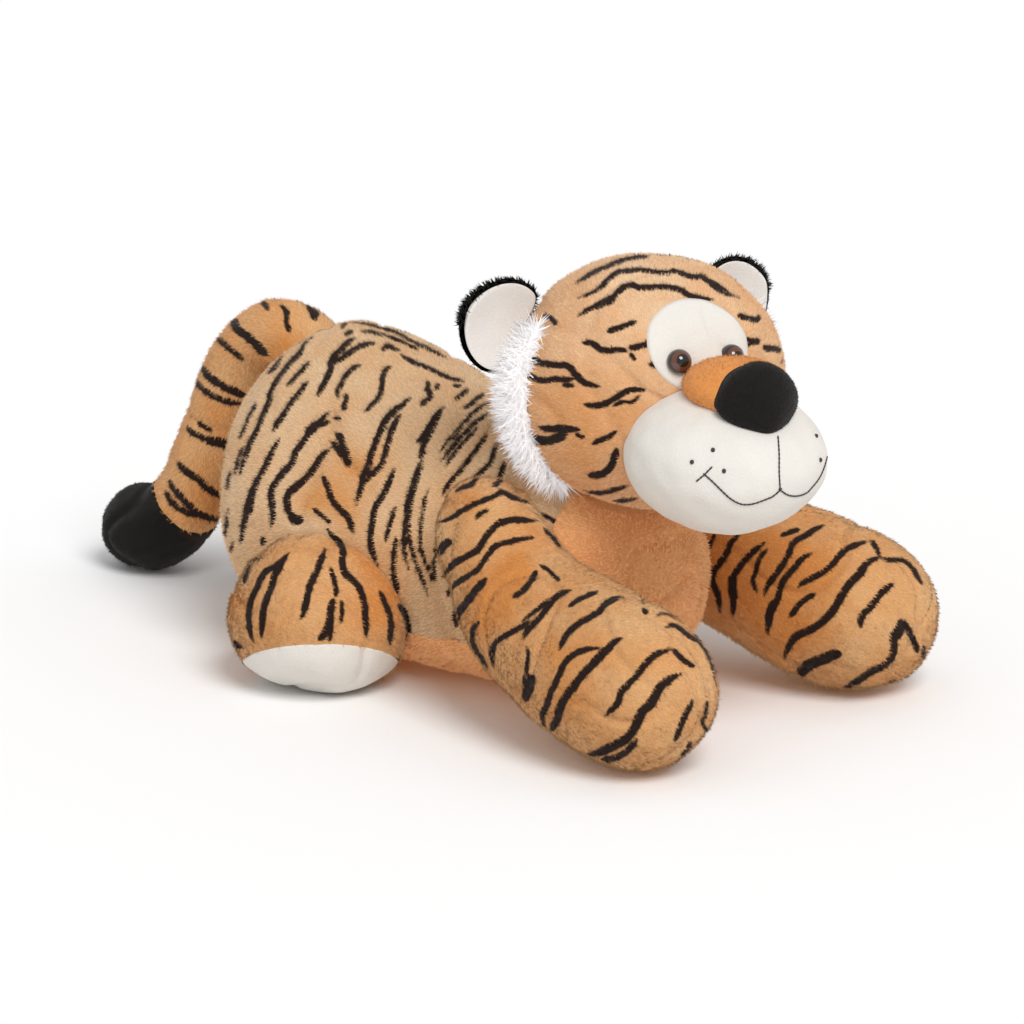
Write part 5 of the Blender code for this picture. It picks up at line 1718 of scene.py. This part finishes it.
NOD_ANGLES = (math.radians(-10), math.radians(6))
TURN_ANGLES = tuple(math.radians(angle) for angle in (-10, 2, 13, 24, 36))
SHARP_ANGLE = math.radians(50)
SHOULDER_BLEND = ((0.100, 0.010, 0.160), (0.122, -0.075, 0.100))
HIP_BLEND = ((0.128, 0.215, 0.090), (0.142, 0.135, 0.070))
TAIL_BLEND = ((0, 0.283, 0.222), (0, 0.345, 0.222))
EAR_BLEND = (0.006, 0.026)
TORSO_FLOW = (0, 1, -0.2)
LEG_FLOW = (0, -1, -0.4)
FOOT_FLOW = (0, -1, -0.3)


def turn_about(point, axis, angle):
    return Matrix.Translation(point) @ Matrix.Rotation(angle, 4, axis) @ Matrix.Translation(-point)


def neck_turns():
    """Where the head goes over its nods and turns."""
    moves = [UNMOVED]
    for nod in NOD_ANGLES:
        for turn in TURN_ANGLES:
            moves.append(turn_about(NECK_POINT, "X", nod) @ turn_about(NECK_POINT, "Z", turn))
    return moves


def cut_by(item, neighbour, gap=CONTACT_GAP):
    """Cut away the space that a neighbour takes, with a gap round it; no marks of it stay behind."""
    own = {attribute.name for attribute in item.data.attributes}
    grown = copied(neighbour)
    write_points(grown, read_points(grown) + read_normals(grown) * gap)
    step = item.modifiers.new("cut", "BOOLEAN")
    step.operation = "DIFFERENCE"
    step.solver = "EXACT"
    step.object = grown
    settle(item)
    spare = grown.data
    bpy.data.objects.remove(grown)
    bpy.data.meshes.remove(spare)
    for mark, _ in MARK_SIZES:
        left = item.data.attributes.get(mark)
        if left is not None and mark not in own:
            item.data.attributes.remove(left)
    item.data.set_sharp_from_angle(angle=SHARP_ANGLE)
    return item


def shape_foot(foot, side):
    """Narrow a hind foot's top and slant its sole up and out."""
    points = read_points(foot)
    rise = smooth_share(points[:, 2], *FOOT_NARROW_HEIGHTS)
    middle = points[:, 1].mean()
    points[:, 1] = middle + (points[:, 1] - middle) * (1 - FOOT_NARROWING * rise)
    out = Vector((side * math.cos(SOLE_SLANT), -SOLE_TURN, -math.sin(SOLE_SLANT))).normalized()
    edge = np.array((side * SOLE_EDGE[0], middle, SOLE_EDGE[1]))
    beyond = np.maximum((points - edge) @ np.array(out), 0)
    write_points(foot, points - beyond[:, None] * np.array(out) * SOLE_FLATNESS)


def tail_flow(points):
    """Pile that lies along the tail."""
    path = np.array([(0, y, z) for y, z, _, _ in TAIL_PLACES])
    steps = np.diff(path, axis=0)
    middles = path[:-1] + steps / 2
    nearest = np.argmin(np.linalg.norm(points[:, None] - middles[None], axis=2), axis=1)
    return steps[nearest] / np.linalg.norm(steps[nearest], axis=1)[:, None]


def on_side(side, line):
    """Points given for the toy's left side, or their mirror images on its right."""
    return [(side * x, y, z) for x, y, z in line]


def dress(item, name, material, slot, pieces=(), bodies=("head",), bend=None, soft=True):
    """Name a finished piece, give it its material, hide the pieces it replaces, and fix it to its body or
    store its blend between two bodies.
    """
    item.name = name
    item.data.name = name
    mark_plain(item)
    if not has_mark(item, "root_normal"):
        write_mark(item, "root_normal", read_normals(item))
    item.data.materials.clear()
    item.data.materials.append(material)
    if pieces:
        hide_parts(*pieces)
    if bend:
        start, end = bend
        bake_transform(item, *bodies, start=tuple(start), end=tuple(end))
    else:
        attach(item, bodies[-1])


def cover(item, name, material, coat, slot, pieces, bodies=("head",), bend=None):
    """A stuffed piece and the pile that grows on it; one without traced stripes stays plain."""
    mark_plain(item)
    mark_growth(item, True)
    pile = grow_pile(item, name + "_pile", material, coat)
    dress(item, name, material, slot, pieces, bodies, bend)
    dress(pile, name + "_pile", material, slot, (), bodies, bend, soft=False)


def build_torso():
    torso = make_torso()
    for seam in HAUNCH_SEAMS + (SHOULDER_SEAM,):
        chain = cast_line(tree_of(torso), seam)
        for line in (chain, mirrored_line(chain)):
            swell(torso, groove(line, SEAM_DEPTH, SEAM_WIDTH))
    swell(torso, lumps(SEED))
    rest_on_floor(torso)
    mark_stripes(torso, BODY_STRIPES, BODY_STRIPES, back=RUMP_STRIPES)
    mark_orange_shade(torso, BODY_ORANGE_SHADE_SPOTS, TORSO_WARMTH)
    mark_flow(torso, along(TORSO_FLOW))
    return torso


def build_legs(torso):
    """Forelegs; the side of one that the photograph hides is the mirror image of the other's."""
    legs = {word: make_foreleg(side) for word, side in SIDES}
    outer_seam = cast_line(tree_of(legs["right"]), NEAR_PAW_SEAM)
    inner_seam = cast_line(tree_of(legs["left"]), FAR_PAW_SEAM)
    seams = {
        "right": (outer_seam, mirrored_line(inner_seam)),
        "left": (mirrored_line(outer_seam), inner_seam),
    }
    stripes = {"right": (BODY_STRIPES, FAR_LEG_STRIPES), "left": (FAR_LEG_STRIPES, BODY_STRIPES)}
    spots = {"right": BODY_ORANGE_SHADE_SPOTS, "left": FAR_ORANGE_SHADE_SPOTS}
    for number, (word, leg) in enumerate(legs.items()):
        for seam in seams[word]:
            swell(leg, groove(seam, FINE_SEAM_DEPTH, FINE_SEAM_WIDTH))
        swell(leg, lumps(LEG_SEED + number))
        rest_on_floor(leg)
        mark_stripes(leg, *stripes[word])
        mark_orange_shade(leg, spots[word], LIMB_WARMTH)
        mark_flow(leg, along(LEG_FLOW))
        cut_by(leg, torso)
    return legs


def build_feet(torso):
    """Hind feet; the far one is striped as the mirror image of the near one."""
    feet = {word: make_hind_foot(side) for word, side in SIDES}
    seam = cast_line(tree_of(feet["right"]), FOOT_SEAM)
    seams = {"right": seam, "left": mirrored_line(seam)}
    seats = {"right": UNMOVED, "left": BODY_MIRROR}
    for number, (word, side) in enumerate(SIDES):
        foot = feet[word]
        shape_foot(foot, side)
        swell(foot, groove(seams[word], FINE_SEAM_DEPTH, FINE_SEAM_WIDTH))
        swell(foot, lumps(FOOT_SEED + number))
        rest_on_floor(foot)
        mark_stripes(foot, BODY_STRIPES, (), seat=seats[word])
        mark_orange_shade(foot, BODY_ORANGE_SHADE_SPOTS, LIMB_WARMTH)
        mark_flow(foot, along(FOOT_FLOW))
        cut_by(foot, torso)
    return feet


def build_tail(torso):
    tail = make_tail()
    swell(tail, lumps(TAIL_SEED))
    rest_on_floor(tail)
    mark_stripes(tail, TAIL_STRIPES, TAIL_STRIPES)
    mark_orange_shade(tail, TAIL_ORANGE_SHADE_SPOTS, TAIL_WARMTH)
    mark_flow(tail, tail_flow)
    return cut_by(tail, torso)


def build_skull(torso_tree, turns):
    """Head cover, clear of the torso at every turn of the neck."""
    skull = make_skull()
    swell(skull, lumps(SKULL_SEED))
    mark_stripes(skull, HEAD_STRIPES, HEAD_STRIPES, HEAD_MIRROR, NAPE_STRIPES, NAPE, boldness=HEAD_BOLDNESS)
    mark_orange_shade(skull, HEAD_ORANGE_SHADE_SPOTS, HEAD_WARMTH, HEAD_MIRROR)
    mark_flow(skull, away_from(HEAD @ MUZZLE_PLACE))
    keep_clear(skull, torso_tree, NECK_GAP, turns)
    return skull


def build_snout(skull):
    """Muzzle and its whole form's search tree, nose, bridge, mouth and whisker knots."""
    muzzle = ball_form("muzzle", MUZZLE_PLACE, MUZZLE_SIZE)
    swell(muzzle, lumps(MUZZLE_SEED, 0))
    nose = cut_by(make_nose(), muzzle)
    bridge = ball_form("bridge", BRIDGE_PLACE, BRIDGE_SIZE)
    for neighbour in (skull, muzzle, nose):
        cut_by(bridge, neighbour)
    tree = tree_of(muzzle)
    mouth = stitched(tree, MOUTH_LINES, STITCH_LENGTH, STITCH_RADIUS, "mouth_thread")
    dots = [((across, down), (across, down + 1)) for across, down in WHISKER_DOTS]
    knots = stitched(tree, dots, KNOT_LENGTH, KNOT_RADIUS, "whisker_knots")
    cut_by(muzzle, skull)
    return muzzle, tree, nose, bridge, mouth, knots


def build_ruff(side, skull, torso_tree, turns):
    """Ruff, clear of the torso at every turn of the neck."""
    ruff = make_ruff(side)
    for move in turns:
        press_out(ruff, torso_tree, NECK_GAP, move)
    across, ahead, up = RUFF_FLOW
    mark_flow(ruff, along(HEAD.to_3x3() @ Vector((-side * across, ahead, up))))
    return cut_by(ruff, skull)


def finish_foot(word, side, foot):
    sole = skin_panel(foot, on_sole(foot), SOLE_LIFT, "sole")
    place = (("torso", "hind_foot_" + word), on_side(side, HIP_BLEND))
    pieces = ("hind_foot_cover_" + word, "hind_foot_stuffing_" + word)
    cover(foot, "foot_fabric_" + word, LIMB_PILE, SHORT_PILE, "limb_pile", pieces, *place)
    dress(sole, "sole_velvet_" + word, PALE_PILE, "pale_pile", ("hind_foot_sole_" + word,), *place)


def finish_leg(word, side, leg):
    pieces = ("foreleg_cover_" + word, "foreleg_stuffing_" + word)
    cover(leg, "leg_fabric_" + word, LIMB_PILE, SHORT_PILE, "limb_pile", pieces,
          ("torso", "foreleg_" + word), on_side(side, SHOULDER_BLEND))


def finish_ear(word, side, skull, skull_tree):
    """Ear back with tufts on its upper rim, and the lining in front of it."""
    back = cut_by(make_ear(side, 0, 0, "ear_back"), skull)
    lining = cut_by(make_ear(side, LINING_INSET, LINING_AHEAD, "ear_lining"), skull)
    seat = ear_frame(side)
    middle = EAR_LENGTH / 2
    across, out, ahead = moved(read_points(back), seat.inverted()).T
    rim = np.hypot(across / EAR_HALF_WIDTH, (out - middle) / middle)
    upper = read_points(back)[:, 2] > (seat @ Vector((0, middle, 0))).z
    mark_flow(back, along(seat.to_3x3() @ Vector((0, 1, 0))))
    tufts = copied(back)
    mark_growth(tufts, (rim > EAR_RIM_SHARE) & upper & (ahead < EAR_RIM_FRONT))
    mark_plain(tufts)
    rim_pile = grow_pile(tufts, "ear_rim_pile_" + word, BLACK_PILE, TUFTED_PILE)
    bpy.data.objects.remove(tufts)
    thin_near(back, (skull_tree, tree_of(lining)), PANEL_CLEARANCE)
    place = (("head", "ear_" + word), [seat @ Vector((0, reach, 0)) for reach in EAR_BLEND])
    cover(back, "ear_fabric_" + word, BLACK_PILE, FINE_PILE, "black_pile", ("ear_back_" + word,), *place)
    dress(rim_pile, "ear_rim_pile_" + word, BLACK_PILE, "black_pile", (), *place, soft=False)
    dress(lining, "ear_velvet_" + word, LINING_PILE, "pale_pile", ("ear_lining_" + word,), *place)


def assemble():
    """Build the forms, clear the pile where they meet, then grow it and give every piece its name, material
    and body.
    """
    torso = build_torso()
    torso_tree = tree_of(torso)
    legs = build_legs(torso)
    feet = build_feet(torso)
    tail = build_tail(torso)
    turns = neck_turns()
    skull = build_skull(torso_tree, turns)
    skull_tree = tree_of(skull)
    muzzle, muzzle_tree, nose, bridge, mouth, knots = build_snout(skull)
    patch = make_patch(skull_tree)
    eyes = {word: make_eye(side, skull_tree) for word, side in SIDES}
    ruffs = {word: build_ruff(side, skull, torso_tree, turns) for word, side in SIDES}
    belly = skin_panel(torso, on_belly(read_points(torso)), BELLY_LIFT, "belly")
    mark_plain(belly, keep=False)
    tip = skin_panel(tail, on_tip(read_points(tail)), TIP_LIFT, "tail_tip")

    limbs = (*legs.values(), *feet.values(), tail)
    limb_trees = [tree_of(item) for item in limbs]
    for item in (torso, belly):
        thin_near(item, limb_trees)
        thin_near(item, (skull_tree,), moves=[move.inverted() for move in turns])
    for item in (*limbs, tip):
        thin_near(item, (torso_tree,))
    thin_near(skull, (torso_tree,), moves=turns)
    thin_near(skull, (muzzle_tree, tree_of(bridge)))
    thin_near(skull, (tree_of(patch), *(tree_of(ruff) for ruff in ruffs.values())), PANEL_CLEARANCE)
    thin_near(bridge, (skull_tree, muzzle_tree, tree_of(nose)), PANEL_CLEARANCE)
    thin_near(nose, (muzzle_tree,), PANEL_CLEARANCE)

    for word, side in SIDES:
        finish_foot(word, side, feet[word])
    for word, side in SIDES:
        finish_leg(word, side, legs[word])
    place = (("torso", "tail"), TAIL_BLEND)
    cover(tail, "tail_fabric", LIMB_PILE, SHORT_PILE, "limb_pile", ("tail_cover", "tail_stuffing"), *place)
    cover(tip, "tail_tip_fabric", BLACK_PILE, FINE_PILE, "black_pile", ("tail_tip_cover",), *place)
    torso_pieces = ("torso_cover", "torso_stuffing")
    cover(torso, "body_fabric", TORSO_PILE, SHORT_PILE, "torso_pile", torso_pieces, ("torso",))
    cover(belly, "belly_fabric", BELLY_PILE, SHORT_PILE, "belly_pile", ("belly_panel",), ("torso",))
    cover(skull, "head_fabric", HEAD_PILE, HEAD_COAT, "torso_pile", ("head_cover", "head_stuffing"))
    cover(bridge, "bridge_fabric", BRIDGE_PILE, FINE_PILE, "limb_pile", ("nose_bridge",))
    cover(nose, "nose_fabric", BLACK_PILE, NOSE_COAT, "black_pile", ("nose",))
    dress(muzzle, "muzzle_velvet", PALE_PILE, "pale_pile", ("muzzle_cover", "muzzle_stuffing"))
    dress(patch, "patch_velvet", PALE_PILE, "pale_pile", ("eye_patch",))
    dress(make_neck(), "neck_fabric", TORSO_PILE, "torso_pile", ("neck_stuffing",), ("neck",))
    dress(mouth, "mouth_thread", THREAD, "black_pile", soft=False)
    dress(knots, "whisker_knots", THREAD, "black_pile", soft=False)
    for word, side in SIDES:
        cover(ruffs[word], "ruff_fabric_" + word, LONG_PILE, STRAND_PILE, "long_pile", ("ruff_" + word,))
        eye_pieces = ("eye_" + word, "eye_washer_" + word)
        dress(eyes[word], "eye_dome_" + word, EYE_PLASTIC, "eye_plastic", eye_pieces, soft=False)
        finish_ear(word, side, skull, skull_tree)


# Room, light and camera

FLOOR_SIZE = 60.0
FLOOR_FINISH = {"Base_Color": (0.93, 0.93, 0.93, 1), "Roughness": 1.0, "Specular_IOR_Level": 0.0}
KEY_DIRECTION = Vector((-0.35, -0.75, 1.0))
KEY_SPREAD = math.radians(28)
KEY_STRENGTH = 1.9
SKY_STRENGTH = 0.62


def make_key_light():
    """Large soft light from over the camera's right shoulder."""
    data = bpy.data.lights.new("key_light", "SUN")
    data.angle = KEY_SPREAD
    data.energy = KEY_STRENGTH
    light = bpy.data.objects.new("key_light", data)
    light.matrix_world = KEY_DIRECTION.to_track_quat("Z", "Y").to_matrix().to_4x4()
    bpy.context.collection.objects.link(light)


def make_room():
    """Pale floor, plain white surroundings and soft studio light."""
    work = bmesh.new()
    bmesh.ops.create_grid(work, x_segments=1, y_segments=1, size=FLOOR_SIZE)
    floor = object_from(work, "floor")
    floor.data.materials.append(new_material("floor_white", **FLOOR_FINISH)[0])
    make_key_light()
    world = bpy.data.worlds.new("studio")
    world.use_nodes = True
    bpy.context.scene.world = world
    graph = Graph(world.node_tree)
    sky = world.node_tree.nodes["Background"]
    seen = graph.add("ShaderNodeLightPath").outputs["Is Camera Ray"]
    strength = graph.math("ADD", graph.math("MULTIPLY", seen, 1 - SKY_STRENGTH), SKY_STRENGTH)
    sky.inputs["Color"].default_value = (1, 1, 1, 1)
    world.node_tree.links.new(strength, sky.inputs["Strength"])


assemble()
make_room()
make_camera()
bpy.context.scene.view_settings.view_transform = "Standard"
